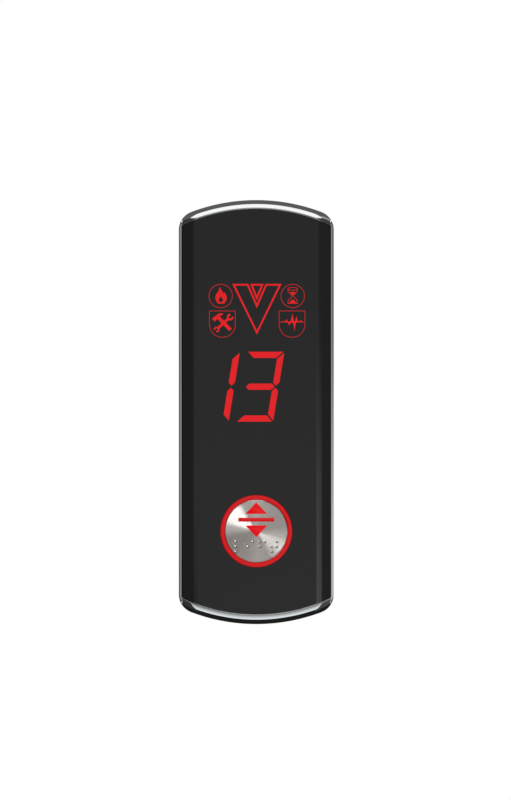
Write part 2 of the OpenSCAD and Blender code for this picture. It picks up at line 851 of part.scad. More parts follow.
module return_spring() color("gray") stand() at_button() {
  n = spring_sides;
  points = [for (i = [0 : spring_rings], j = [0 : n - 1]) spring_point(i, j)];
  walls = [for (i = [0 : spring_rings - 1], j = [0 : n - 1]) let (k = (j + 1) % n)
    each [[i * n + j, i * n + k, (i + 1) * n + j], [i * n + k, (i + 1) * n + k, (i + 1) * n + j]]];
  ends = [[for (j = [n - 1 : -1 : 0]) j], [for (j = [0 : n - 1]) spring_rings * n + j]];
  polyhedron(points, concat(walls, ends));
}

module switch_body() color("#252525") stand() at_button() difference() {
  translate([-switch_w / 2, -switch_w / 2, board_front]) cube([switch_w, switch_w, switch_h]);
  translate([0, 0, switch_top - switch_stem_sunk - button_travel - wall_air])
    cylinder(r = switch_stem_r + switch_stem_gap, h = switch_h);
}

module switch_terminals() color("goldenrod") stand() at_button() four_corners()
  translate([switch_w / 2, terminal_y, board_front]) {
    cube([terminal_l, terminal_w, terminal_t]);
    cube([terminal_t, terminal_w, terminal_h]);
  }

module switch_plunger() color("white") stand() at_button()
  translate([0, 0, switch_top - switch_stem_sunk])
    cylinder(r = switch_stem_r, h = stem_end - switch_top + switch_stem_sunk);

wall_plate();
cable_bushing();
lock_screw();
chrome_frame();
lens_gasket();
front_lens();
main_board();
board_screws();
digit_reflector();
digit_segments_lit();
digit_segments_dark();
digit_leds();
icon_light_box();
icon_film();
icon_leds();
buzzer();
control_chip();
wire_header();
header_pins();
button_housing();
housing_screws();
button_gasket();
halo_ring();
halo_leds();
button_plate();
symbol_diffuser();
button_plunger();
return_spring();
switch_body();
switch_terminals();
switch_plunger();
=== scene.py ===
# %% [markdown]
# # A lift call panel, dressed in cells
# The solids of the panel are already built and packed. This lesson gives them their looks: it loads the
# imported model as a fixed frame, rebuilds the pieces whose curves show in reflections, draws the lit signs,
# paints every piece and sets up a small studio. The solids themselves are never moved.

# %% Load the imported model
import json

import bmesh
import bpy
import numpy as np
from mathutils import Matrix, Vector

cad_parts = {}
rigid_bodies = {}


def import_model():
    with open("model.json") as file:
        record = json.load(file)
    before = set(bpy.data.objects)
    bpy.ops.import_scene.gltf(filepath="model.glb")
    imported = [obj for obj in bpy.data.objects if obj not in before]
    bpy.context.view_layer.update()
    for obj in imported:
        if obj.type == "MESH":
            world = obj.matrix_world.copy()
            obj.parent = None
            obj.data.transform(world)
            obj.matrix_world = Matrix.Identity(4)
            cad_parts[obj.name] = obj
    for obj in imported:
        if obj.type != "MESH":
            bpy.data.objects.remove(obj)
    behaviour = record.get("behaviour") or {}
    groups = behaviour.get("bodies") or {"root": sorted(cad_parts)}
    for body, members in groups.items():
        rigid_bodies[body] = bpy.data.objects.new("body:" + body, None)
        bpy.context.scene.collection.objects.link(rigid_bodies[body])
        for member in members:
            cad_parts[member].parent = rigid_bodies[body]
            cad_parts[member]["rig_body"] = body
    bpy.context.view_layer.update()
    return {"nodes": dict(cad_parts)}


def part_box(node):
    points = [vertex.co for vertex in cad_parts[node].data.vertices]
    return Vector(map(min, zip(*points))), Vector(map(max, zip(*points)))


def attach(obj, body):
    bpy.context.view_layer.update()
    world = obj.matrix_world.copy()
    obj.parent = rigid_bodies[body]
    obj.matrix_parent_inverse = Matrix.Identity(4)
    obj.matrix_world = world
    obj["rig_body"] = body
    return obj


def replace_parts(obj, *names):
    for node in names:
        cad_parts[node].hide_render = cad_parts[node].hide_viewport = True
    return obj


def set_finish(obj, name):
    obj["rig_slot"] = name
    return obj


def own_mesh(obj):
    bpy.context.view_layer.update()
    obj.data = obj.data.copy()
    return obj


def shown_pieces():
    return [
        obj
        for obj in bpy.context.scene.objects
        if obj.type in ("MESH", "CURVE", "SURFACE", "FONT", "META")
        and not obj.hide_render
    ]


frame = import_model()
print("nodes loaded:", len(frame["nodes"]))

# %% [markdown]
# ## Units and axes
# Drawings of such a panel are in millimetres, as it lies on its back: across, up the wall, and depth out of
# the wall. Blender works in metres with the panel standing up. One function carries a drawing's points into
# the frame, so every shape below can be worked out in the drawing's own terms.

# %% From the drawing to the frame
MM = 0.001


def stand(across, up, depth):
    """Points of the drawing in the frame: X is across, Z is up, and Y runs into the wall, so minus depth."""
    across, up, depth = np.broadcast_arrays(across, up, depth)
    return np.stack([across, -depth, up], axis=-1).reshape(-1, 3) * MM


def box_mm(node):
    """Lowest and highest corner of a node, in millimetres."""
    low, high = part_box(node)
    return np.array(low) / MM, np.array(high) / MM


frame_low, frame_high = box_mm("chrome_frame")
lens_low, lens_high = box_mm("front_lens")
halo_low, halo_high = box_mm("halo_ring")
HALF_W = frame_high[0]
HALF_H = -frame_low[2]
LENS_FRONT = -lens_low[1]
LENS_HALF_W = lens_high[0]
BUTTON_UP = (halo_low[2] + halo_high[2]) / 2
print(f"panel {2 * HALF_W:.2f} by {2 * HALF_H:.2f} mm, lens front {LENS_FRONT:.2f} mm out of the wall")

# %% [markdown]
# ## Making a mesh from arrays
# A surface here is a grid of points worked out in one go. A few helpers turn such grids into pieces: they
# list the quads of a grid, join several shapes, shade the mesh and make the object. Making it also takes the
# sign of the volume, because a mesh with a negative volume has its faces turned inwards.

# %% Mesh helpers


def grid_faces(rows, columns, loop_rows=False, loop_columns=False):
    """Quads between neighbouring rows and columns; a looped direction joins its last line to its first."""
    index = np.arange(rows * columns).reshape(rows, columns)
    if loop_rows:
        index = np.vstack([index, index[:1]])
    if loop_columns:
        index = np.hstack([index, index[:, :1]])
    corners = index[:-1, :-1], index[1:, :-1], index[1:, 1:], index[:-1, 1:]
    return np.stack([c.ravel() for c in corners], axis=1)


def join(parts):
    """Several (points, faces) as one: each part's faces count on from the points before it."""
    starts = np.cumsum([0] + [len(points) for points, _ in parts])
    faces = [group + start for (_, groups), start in zip(parts, starts) for group in groups]
    return np.concatenate([points for points, _ in parts]), faces


def volume(points, groups):
    """Six times the enclosed volume: the sum of the boxes spanned by the corners of every triangle."""
    return sum(
        np.sum(points[g[:, 0]] * np.cross(points[g[:, i]], points[g[:, i + 1]]))
        for g in groups
        for i in range(1, g.shape[1] - 1)
    )


print("a grid of 3 by 4 points has", len(grid_faces(3, 4)), "faces")

# %% Shading and making a piece
MERGE = 0.0004 * MM
CREASE = np.radians(32)
ONE_PLANE = np.radians(0.5)


def shade(mesh, join_flats=False):
    """Merges points that coincide, and shades the mesh smooth except across sharp creases. Where asked,
    triangles that lie in one plane become one face, so that thin slivers can't spoil the shading."""
    work = bmesh.new()
    work.from_mesh(mesh)
    bmesh.ops.remove_doubles(work, verts=work.verts, dist=MERGE)
    if join_flats:
        bmesh.ops.dissolve_limit(work, angle_limit=ONE_PLANE, verts=work.verts, edges=work.edges)
    work.to_mesh(mesh)
    work.free()
    mesh.shade_smooth()
    mesh.set_sharp_from_angle(angle=CREASE)


def piece(name, shape, body, slot, stands_for=()):
    """Makes an object of (points, faces), riding on a body, with the finish of a slot of the record."""
    points, groups = shape
    mesh = bpy.data.meshes.new(name)
    mesh.from_pydata(points.tolist(), [], [f for g in groups for f in g.tolist()])
    if volume(points, groups) < 0:
        mesh.flip_normals()
    shade(mesh)
    made = bpy.data.objects.new(name, mesh)
    bpy.context.scene.collection.objects.link(made)
    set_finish(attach(made, body), slot)
    if stands_for:
        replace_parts(made, *stands_for)
    print(f"{name}: {len(mesh.polygons)} faces")
    return made


# %% [markdown]
# ## The panel's front in numbers
# The front is flat in the middle, bends over a small radius and slopes back along both sides. Two roundings
# lower it towards the outline: a small one along the sides, and a nose like a bent pipe along the bows. Each
# is worked out as a drop below the plain front, so they can simply be added. The small one runs out round
# the corner, where the nose takes over. The band at the top is a little slimmer than the one at the bottom.

# %% Section of the front
DEPTH = 22.0
SLOPE_W = 7.5
SLOPE = np.radians(27)
BEND_R = 8.0
BEND_AT = HALF_W - SLOPE_W - BEND_R * np.tan(SLOPE / 2)
BEND_END = BEND_AT + BEND_R * np.sin(SLOPE)
RIM_R = 2.2


def front_section(across, drop=0.0):
    """Height of the plain front: flat, then a circle of the bend's radius, then a straight slope."""
    x = np.abs(across)
    bend = np.sqrt(np.clip(BEND_R**2 - (x - BEND_AT) ** 2, 0, None)) - BEND_R
    slope = (HALF_W - SLOPE_W - x) * np.tan(SLOPE)
    return DEPTH - drop + np.select([x < BEND_AT, x < BEND_END], [0, bend], slope)


def rim_drop(inside):
    """Drop of the rounded outer edge below the slope, by the distance inside the outline: past the point
    where the slope touches it, a circle."""
    x = HALF_W - inside
    centre = HALF_W - RIM_R
    middle = front_section(centre) - RIM_R / np.cos(SLOPE)
    circle = middle + np.sqrt(np.clip(RIM_R**2 - (x - centre) ** 2, 0, None))
    return np.where(x > centre + RIM_R * np.sin(SLOPE), circle - front_section(x), 0)


print(f"the bend runs from {BEND_AT:.2f} to {BEND_END:.2f} mm off the middle")

# %% Corners and rounded ends
BOW_R = 92.0
BOW_UP = HALF_H - BOW_R
CORNER_R = 9.5
END_RIM = 4.8
TOP_TRIM = 0.5
NOSE_R = 6.4
NOSE_OVER = 0.2
NOSE_SOFT = 0.25
NOSE_START = NOSE_R - NOSE_OVER - END_RIM - NOSE_SOFT


def corner_of(half_w, bow_r, corner_r):
    """Centre of the arc that touches a side and a bow from inside, and the angle that the arc turns."""
    x = half_w - corner_r
    y = BOW_UP + np.sqrt((bow_r - corner_r) ** 2 - x**2)
    return x, y, np.arctan2(y - BOW_UP, x)


def to_edge(across, up):
    """How far inside the outline a point lies, and how far round the corner: 0 on a side, 1 on a bow."""
    x, y = np.abs(across), np.abs(up)
    corner_x, corner_y, turn = corner_of(HALF_W, BOW_R, CORNER_R)
    angle = np.arctan2(y - corner_y, x - corner_x)
    corner = CORNER_R - np.hypot(x - corner_x, y - corner_y)
    bow = BOW_R - np.hypot(x, y - BOW_UP)
    return np.select([angle < 0, angle < turn], [HALF_W - x, corner], bow), np.clip(angle / turn, 0, 1)


def nose_drop(across, up):
    """Drop of the rounded end: a circle of the nose's radius just inside the bow, a little smaller at the
    top. A soft minimum with zero takes away the crease where it starts."""
    radius = NOSE_R - TOP_TRIM * (up > 0)
    away = np.clip(np.hypot(across, np.abs(up) - BOW_UP) - BOW_R - NOSE_OVER + radius, 0, None)
    circle = np.sqrt(np.clip(radius**2 - away**2, 0, None)) - np.sqrt(radius**2 - NOSE_START**2)
    drop = np.where(np.abs(up) > BOW_UP, circle, NOSE_SOFT)
    mix = np.clip(0.5 + 0.5 * drop / NOSE_SOFT, 0, 1)
    return drop * (1 - mix) - NOSE_SOFT * mix * (1 - mix)


def frame_front(across, up, capped=1.0):
    """Height of the frame's front: its section across, less both roundings. The nose belongs to the end
    caps, so it is left out where a side's rail runs up past the lens."""
    inside, share = to_edge(across, up)
    return front_section(across) + rim_drop(inside) * (1 - share) + nose_drop(across, up) * capped


heights = frame_front(np.array([0, HALF_W, 0]), np.array([0, 0, HALF_H]))
print("height at the middle, a side and an end:", heights)

# %% [markdown]
# ## Outlines with matching stations
# The frame is a ring, so each of its outlines, outer edge, lens pocket, opening and cavity, is cut into the
# same number of stations. Then a station is one slice through the frame, and the slices join up into a grid.

# %% Bowed outlines
ON_SIDE, ON_CORNER, ON_BOW = 22, 46, 48


def bowed(half_w, bow_r, corner_r):
    """Closed outline: a straight side, a corner arc that touches side and bow, and half of the bow's arc,
    which is then mirrored three times."""
    x, y, turn = corner_of(half_w, bow_r, corner_r)
    side = y * np.sin(np.linspace(0, np.pi / 2, ON_SIDE, endpoint=False))
    corner = np.linspace(0, turn, ON_CORNER, endpoint=False)
    bow = np.linspace(turn, np.pi / 2, ON_BOW + 1)
    quarter = np.concatenate([
        np.stack([np.full(ON_SIDE, half_w), side], axis=1),
        np.stack([x + corner_r * np.cos(corner), y + corner_r * np.sin(corner)], axis=1),
        np.stack([bow_r * np.cos(bow), BOW_UP + bow_r * np.sin(bow)], axis=1),
    ])
    back = quarter[::-1]
    return np.concatenate([
        quarter[:-1], (back * [-1, 1])[:-1], (quarter * [-1, -1])[:-1], (back * [1, -1])[:-1]
    ])


POCKET_R = 0.5
RIM_W, SIDE_WALL, END_WALL = 1.5, 1.75, 3.0
LEDGE_W, LEDGE_T, LEDGE_DROP = 2.2, 2.0, 3.3
outer = bowed(HALF_W, BOW_R, CORNER_R)
pocket = bowed(HALF_W - RIM_W, BOW_R - END_RIM, POCKET_R)
pocket[:, 1] += TOP_TRIM * (pocket[:, 1] > 0)
opening = bowed(HALF_W - SIDE_WALL - LEDGE_W, BOW_R - END_RIM - LEDGE_W, POCKET_R)
cavity = bowed(HALF_W - SIDE_WALL, BOW_R - END_WALL, POCKET_R)
STATIONS = len(outer)
BOTTOM = 3 * STATIONS // 4
print("stations round the frame:", STATIONS, "bottom middle at", outer[BOTTOM])

# %% [markdown]
# ## The chrome frame
# The real frame is a zinc casting, polished and plated, and it shows almost nothing but reflections. A mesh
# of flat facets would break them up, so the ring is worked out afresh on a fine grid: up the outer wall,
# over the front, down into the lens pocket, round the ledge and down the inner wall. At the corners the
# rails of the sides run up past the lens and roll over into the end caps. The lock screw's hole in the
# bottom edge is a square of that grid that is pulled in to a circle.

# %% Slices through the frame
EDGE_R = 0.15
BACK_R = 0.4
WALL_STOP = 0.4
OVER_POINTS = 44
RAIL_W, RAIL_ROLL = 1.0, 1.1
LOCK_DEPTH = 6.0
HOLE_SPAN = 6
HOLE_HALF = np.linalg.norm(outer[BOTTOM + HOLE_SPAN] - outer[BOTTOM])
quarter_turn = np.radians([0, 30, 60, 90])


def slice_points(start, end, share, depth):
    """Points at a share of the way between two outlines, each at its depth: arrays of stations by points."""
    share, depth = np.broadcast_arrays(share, depth)
    flat = start[:, None] + (end - start)[:, None] * share[..., None]
    return np.concatenate([flat, depth[..., None]], axis=-1)


def frame_slices():
    """One row of points for each station, from the back edge outside right round to the back inside."""
    ones = np.ones((STATIONS, 1))
    wall = np.linalg.norm(cavity - outer, axis=1)[:, None]
    rim = np.linalg.norm(pocket - outer, axis=1)[:, None]
    capped = np.clip((HALF_W - RAIL_W - np.abs(outer[:, :1])) / RAIL_ROLL, 0, 1)
    capped = capped**2 * (3 - 2 * capped)
    top = frame_front(*outer.T[..., None], capped)
    hole_rows = LOCK_DEPTH + HOLE_HALF * np.linspace(-1, 1, 2 * HOLE_SPAN + 1)
    upper = hole_rows[-1] + (top - WALL_STOP - hole_rows[-1]) * np.array([0.5, 1])
    depths = np.hstack([ones * hole_rows, upper])
    spread = 1 - np.cos(np.linspace(0, np.pi / 2, OVER_POINTS))
    over = slice_points(outer, pocket, spread * (1 - EDGE_R / rim), 0)
    over[..., 2] = frame_front(over[..., 0], over[..., 1], capped)
    inner_top = over[:, -1:, 2]
    turned = quarter_turn[1:]
    ledge = front_section(pocket[:, :1], LEDGE_DROP), front_section(opening[:, :1], LEDGE_DROP)
    under = ledge[1] - LEDGE_T, front_section(cavity[:, :1], LEDGE_DROP + LEDGE_T)
    return np.concatenate([
        slice_points(outer, cavity, BACK_R * (1 - np.sin(quarter_turn)) / wall,
                     BACK_R * (1 - np.cos(quarter_turn)) * ones),
        slice_points(outer, cavity, 0.0, depths),
        over,
        slice_points(outer, pocket, 1 - EDGE_R * (1 - np.sin(turned)) / rim,
                     inner_top - EDGE_R * (1 - np.cos(turned))),
        slice_points(pocket, opening, np.array([0.0, 1.0]), np.hstack(ledge)),
        slice_points(opening, cavity, np.array([0.0, 1.0]), np.hstack(under)),
        slice_points(cavity, outer, 0.0, 0 * ones),
    ], axis=1)


slices = frame_slices()
print("points in a slice:", slices.shape[1])

# %% The ring, its screw hole and its fixings


def square_to_circle(half, radius, count, rings):
    """Rings of points from a square's edge to a circle: each is a blend of the two, corner to diagonal."""
    step = np.linspace(-1, 1, count, endpoint=False)
    one = np.ones(count)
    sides = [step, -one], [one, step], [-step, one], [-one, -step]
    square = half * np.concatenate([np.stack(side, axis=1) for side in sides])
    angle = np.radians(-135) + np.linspace(0, 2 * np.pi, 4 * count, endpoint=False)
    circle = radius * np.stack([np.cos(angle), np.sin(angle)], axis=1)
    share = np.linspace(0, 1, rings)[:, None, None]
    return square + (circle - square) * share


SCREW_HOLE_R, SCREW_HOLE_DEEP = 2.95, 1.9
HOLE_RINGS = 5
FLOOR_SHARE = 0.02


def frame_ring():
    """The slices as a grid that is closed both ways, less the square round the lock screw, plus that square
    pulled in to a circle, its wall and its floor."""
    count = slices.shape[1]
    faces = grid_faces(STATIONS, count, loop_rows=True, loop_columns=True).reshape(STATIONS, count, 4)
    first = len(quarter_turn)
    keep = np.ones((STATIONS, count), bool)
    keep[BOTTOM - HOLE_SPAN:BOTTOM + HOLE_SPAN, first:first + 2 * HOLE_SPAN] = False
    ring = stand(*slices.reshape(-1, 3).T), [faces[keep]]
    rings = square_to_circle(HOLE_SPAN, SCREW_HOLE_R / HOLE_HALF * HOLE_SPAN, 2 * HOLE_SPAN, HOLE_RINGS)
    turn = np.arctan2(outer[BOTTOM + HOLE_SPAN, 0], -outer[BOTTOM + HOLE_SPAN, 1] - BOW_UP) / HOLE_SPAN
    sunk = np.repeat([0, SCREW_HOLE_DEEP], [HOLE_RINGS, 2])[:, None]
    rings = np.concatenate([rings, rings[-1] * np.array([1, FLOOR_SHARE])[:, None, None]])
    angle, away = rings[..., 0] * turn, BOW_R - sunk
    depth = LOCK_DEPTH + rings[..., 1] * HOLE_HALF / HOLE_SPAN
    points = stand(away * np.sin(angle), -BOW_UP - away * np.cos(angle), depth)
    floor = np.arange(len(points) - rings.shape[1], len(points))[None]
    hole = points, [grid_faces(*rings.shape[:2], loop_columns=True)[:, ::-1], floor[:, ::-1]]
    return join([ring, hole])


piece("chrome_frame_skin", frame_ring(), "panel", "chrome", ["chrome_frame"])

# %% [markdown]
# Inside the frame stand four bosses for the board's screws, each with a rib to the wall, and two ribs that
# hang on the wall plate's hooks. Nothing of them shows in front, so plain turned and extruded shapes do.

# %% Bosses and ribs


def turned_ring(profile, across, up, steps=96):
    """A closed profile of (radius, depth) carried round an axis square to the wall at (across, up)."""
    angle = np.linspace(0, 2 * np.pi, steps, endpoint=False)[:, None]
    radius, depth = np.asarray(profile, float).T
    points = stand(across + radius * np.cos(angle), up + radius * np.sin(angle), depth + 0 * angle)
    return points, [grid_faces(steps, len(radius), loop_rows=True, loop_columns=True)]


def slab(flat, groups, back, front):
    """A flat shape between two depths: its front, its back turned over, and a wall on every outer edge.
    An edge is an outer one if no other face runs along it the other way."""
    count = len(flat)
    edges = np.concatenate([
        np.stack([group, np.roll(group, -1, axis=1)], axis=-1).reshape(-1, 2) for group in groups
    ])
    lone = ~np.isin(edges[:, 1] * count + edges[:, 0], edges[:, 0] * count + edges[:, 1])
    start, end = edges[lone].T
    walls = np.stack([start, start + count, end + count, end], axis=1)
    points = np.concatenate([stand(*flat.T, front), stand(*flat.T, back)])
    return points, [*groups, *(group[:, ::-1] + count for group in groups), walls]


def block(left, right, low, high, back, front):
    """A rectangle of the drawing between two depths."""
    flat = np.array([[left, low], [right, low], [right, high], [left, high]], float)
    return slab(flat, [np.array([[0, 1, 2, 3]])], back, front)


board_low, board_high = box_mm("main_board")
BOARD_FRONT = -board_low[1]
BOSS_X, BOSS_Y = board_high[0] - 3.0, board_high[2] - 8.0
BOSS_R, BOSS_HOLE_R, RIB_HALF = 3.25, 1.5, 1.1
RIB_FROM, RIB_TO = BOSS_X + 2.9, HALF_W - 0.9
BOSS_TOP = float(front_section(HALF_W - SIDE_WALL - LEDGE_W / 2, LEDGE_DROP + LEDGE_T / 2))
HOOK_X, HOOK_HALF = 14.0, 5.0
HOOK_UP, HOOK_DEPTH = (98.6, 104.0), (3.5, 5.5)
boss = [(BOSS_HOLE_R, BOARD_FRONT), (BOSS_R, BOARD_FRONT), (BOSS_R, BOSS_TOP), (BOSS_HOLE_R, BOSS_TOP)]
fixings = []
for side in (-1, 1):
    for end in (-1, 1):
        fixings.append(turned_ring(boss, side * BOSS_X, end * BOSS_Y, 32))
        reach = sorted((side * RIB_FROM, side * RIB_TO))
        middle = end * BOSS_Y
        fixings.append(block(*reach, middle - RIB_HALF, middle + RIB_HALF, BOARD_FRONT, BOSS_TOP))
    fixings.append(block(side * HOOK_X - HOOK_HALF, side * HOOK_X + HOOK_HALF, *HOOK_UP, *HOOK_DEPTH))
piece("frame_fixings", join(fixings), "panel", "chrome")

# %% [markdown]
# ## The lens
# The lens is one sheet of dark acrylic that is formed to the same section as the frame, a little below it,
# with a round hole for the button. Its flat middle acts as a mirror, so it has to be truly flat, and the
# bend needs several columns of its own. Blocks of a grid give both: strips along the sides, blocks above and
# below the button, and between those a square that is pulled in to the hole.

# %% Lens blocks
LENS_GAP, LENS_T, LENS_HOLE_R, LENS_EDGE = 0.1, 2.5, 18.0, 0.12
SQUARE = 24.0
ROWS_LOW, ROWS_HOLE, ROWS_HIGH = 8, 24, 40
BLOCK_ENDS = BUTTON_UP - SQUARE, BUTTON_UP + SQUARE


def lens_end(across):
    """How far up the lens reaches at a place across: the bow's arc, less the rim and the gap."""
    return BOW_UP + np.sqrt((BOW_R - END_RIM - LENS_GAP) ** 2 - across**2)


def lens_rows(across):
    """Heights of the grid's rows: even steps in each of three stretches, with the outer ends on the bows."""
    end = lens_end(across)[:, None]
    low = -end + (BLOCK_ENDS[0] + end) * np.linspace(0, 1, ROWS_LOW + 1)
    middle = np.linspace(*BLOCK_ENDS, ROWS_HOLE + 1)[1:-1] + 0 * end
    high = BLOCK_ENDS[1] + (end + TOP_TRIM - BLOCK_ENDS[1]) * np.linspace(0, 1, ROWS_HIGH + 1)
    return np.hstack([low, middle, high])


def lens_block(across, rows):
    """A block of the lens: these columns, and these of the rows."""
    up = lens_rows(across)[:, rows]
    flat = np.stack(np.broadcast_arrays(across[:, None], up), axis=-1)
    return flat.reshape(-1, 2), [grid_faces(*up.shape)]


strip = np.concatenate([
    np.linspace(SQUARE, BEND_AT, 4),
    np.linspace(BEND_AT, BEND_END, 13)[1:],
    np.linspace(BEND_END, LENS_HALF_W, 6)[1:],
])
middle_columns = np.linspace(-SQUARE, SQUARE, ROWS_HOLE + 1)
print("columns: a side strip has", len(strip), "and the middle has", len(middle_columns))

# %% The lens sheet
hole = square_to_circle(SQUARE, LENS_HOLE_R, ROWS_HOLE, 6)
flat, groups = join([
    lens_block(strip, slice(None)),
    lens_block(-strip[::-1], slice(None)),
    lens_block(middle_columns, slice(0, ROWS_LOW + 1)),
    lens_block(middle_columns, slice(ROWS_LOW + ROWS_HOLE, None)),
    ((hole + [0, BUTTON_UP]).reshape(-1, 2), [grid_faces(*hole.shape[:2], loop_columns=True)]),
])


def weld(flat, groups):
    """Blocks that share an edge get one point where each had its own: equal places are one, once rounded."""
    _, keep, same = np.unique(np.round(flat, 4), axis=0, return_index=True, return_inverse=True)
    return flat[keep], [same.ravel()[group] for group in groups]


def round_edges(made, width, segments=2):
    """A small bevel on the sharp edges, because no moulded or cast edge is a knife."""
    bevel = made.modifiers.new("edges", "BEVEL")
    bevel.width = width * MM
    bevel.segments = segments
    bevel.limit_method = "ANGLE"
    bevel.angle_limit = CREASE
    bevel.harden_normals = True


flat, groups = weld(flat, groups)
points, groups = slab(flat, groups, 0.0, 0.0)
depth = front_section(flat[:, 0], DEPTH - LENS_FRONT)
points[:, 1] = -np.concatenate([depth, depth - LENS_T]) * MM
lens = piece("front_lens_sheet", (points, groups), "panel", "smoked_acrylic", ["front_lens"])
round_edges(lens, LENS_EDGE)

# %% [markdown]
# ## Lit signs on the lens
# On the real panel the signs are clear places in a dark print, with lamps behind them. A sign drawn only in
# a material would blur when the model is exported, so each one is a very thin slab let into the lens. Nearly
# all of them are bands: a path with a width at every point, drawn out to both sides.

# %% Bands and curves


def band(path, width, loop=False):
    """A path widened to both sides: every point moves half the width along the mean of its two edges'
    normals, lengthened at corners so that the edges stay parallel."""
    path = np.asarray(path, float)
    step = np.roll(path, -1, axis=0) - path
    step /= np.linalg.norm(step, axis=1)[:, None]
    before = np.roll(step, 1, axis=0)
    if not loop:
        step[-1] = before[-1]
        before[0] = step[0]
    normal = np.stack([-step[:, 1] - before[:, 1], step[:, 0] + before[:, 0]], axis=1)
    normal /= np.maximum(np.sum(normal**2, axis=1), 0.4)[:, None]
    reach = normal * np.broadcast_to(width, len(path))[:, None]
    grid = np.stack([path - reach, path + reach], axis=1)
    return grid.reshape(-1, 2), [grid_faces(len(path), 2, loop_rows=loop)]


def curve(points, count, loop=False):
    """A smooth curve through the points: each span is a cubic, and its slope at a point is half the step
    between that point's neighbours."""
    points = np.asarray(points, float)
    ends = (points[-1:], points[:1], points[1:2]) if loop else (points[:1], points[-1:], points[-1:])
    padded = np.concatenate([ends[0], points, ends[1], ends[2]])
    spans = len(points) if loop else len(points) - 1
    at = np.linspace(0, spans, count, endpoint=not loop)
    span = np.minimum(at.astype(int), spans - 1)
    t = (at - span)[:, None]
    a, b, c, d = (padded[span + i] for i in range(4))
    return b + 0.5 * t * (c - a + t * (2 * a - 5 * b + 4 * c - d + t * (3 * (b - c) + d - a)))


def arc(across, up, radius, first, last, count):
    """Points on a circle between two angles in degrees."""
    angle = np.radians(np.linspace(first, last, count))
    return np.stack([across + radius * np.cos(angle), up + radius * np.sin(angle)], axis=1)


def between(one, other, loop=False):
    """The strip between two curves that have as many points each."""
    grid = np.stack([one, other], axis=1)
    return grid.reshape(-1, 2), [grid_faces(len(one), 2, loop_rows=loop)]


print("a half circle in five points:", arc(0, 0, 1, 0, 180, 5).round(2).tolist())

# %% A sign in the lens
SIGN_PROUD, SIGN_SUNK, SIGN_STEP = 0.03, 0.25, 0.002


def sign(name, at, shapes):
    """A sign of several flat shapes round a place on the lens, each a hair higher than the one before."""
    solids = [
        slab(flat + at, groups, LENS_FRONT - SIGN_SUNK, LENS_FRONT + SIGN_PROUD + SIGN_STEP * level)
        for level, (flat, groups) in enumerate(shapes)
    ]
    piece(name, join(solids), "panel", "lit_red")


print(f"a sign is {SIGN_SUNK + SIGN_PROUD:.2f} mm thick and {SIGN_PROUD} mm of that stands out")

# %% [markdown]
# ### Digits
# A digit has seven strokes with mitred ends. All of them come from three outlines, a bar, a post and the
# middle bar, which are turned over for the other half of the digit and then slanted.

# %% Digits
DIGIT_W, DIGIT_H, STROKE, STROKE_GAP = 18.5, 34.9, 3.1, 0.75
DIGIT_SLANT = np.tan(np.radians(9.2))
DIGIT_AT = np.array([1.95, 12.7])
DIGIT_PITCH = 22.2


def stroke(letter):
    """One stroke as a polygon round the digit's middle: mirrored for the left and the lower half, then
    slanted by moving each point across in proportion to its height."""
    w, h, s, m = DIGIT_W / 2, DIGIT_H / 2, STROKE, STROKE_GAP / np.sqrt(2)
    bar = [[m - w, h], [w - m, h], [w - s - m, h - s], [s + m - w, h - s]]
    post = [[w, h - m], [w - s, h - s - m], [w - s, s / 2 + m], [w - s / 2, m], [w, s / 2 + m]]
    half = [[s / 2 + m - w, 0], [s + m - w, s / 2], [w - s - m, s / 2], [w - s / 2 - m, 0]]
    middle = half + [[w - s - m, -s / 2], [s + m - w, -s / 2]]
    points = np.array(bar if letter in "ad" else middle if letter == "g" else post)
    points = points * [-1 if letter in "ef" else 1, -1 if letter in "cde" else 1]
    points[:, 0] += points[:, 1] * DIGIT_SLANT
    return points, [np.arange(len(points))[None]]


units = [stroke(letter) for letter in "abcdg"]
tens = [(points - [DIGIT_PITCH, 0], faces) for points, faces in map(stroke, "bc")]
sign("display_digits", DIGIT_AT, units + tens)

# %% [markdown]
# ### Round and shield signs
# Each sign has an outlined field and a filled figure: a flame, an hourglass, crossed tools and a pulse. The
# figures are common ones, drawn here from a few points each, with smooth curves wherever the form is round.

# %% Fields
FIELD_STROKE = 0.23
ROUND_R, ROUND_UP = 5.85, 58.0
SHIELD_W, SHIELD_H, SHIELD_UP = 12.9, 13.15, 43.95


def round_field():
    """A circle as a band."""
    return band(arc(0, 0, ROUND_R, 0, 360, 73)[:-1], FIELD_STROKE, loop=True)


def shield_field():
    """A square top on a half circle, as a band, with its middle at half height."""
    radius = SHIELD_W / 2
    top, foot = SHIELD_H / 2, radius - SHIELD_H / 2
    path = np.concatenate([[[radius, top], [-radius, top]], arc(0, foot, radius, 180, 360, 41)])
    return band(path, FIELD_STROKE, loop=True)


print(f"round fields {2 * ROUND_R:.1f} mm, shields {SHIELD_W} by {SHIELD_H} mm")

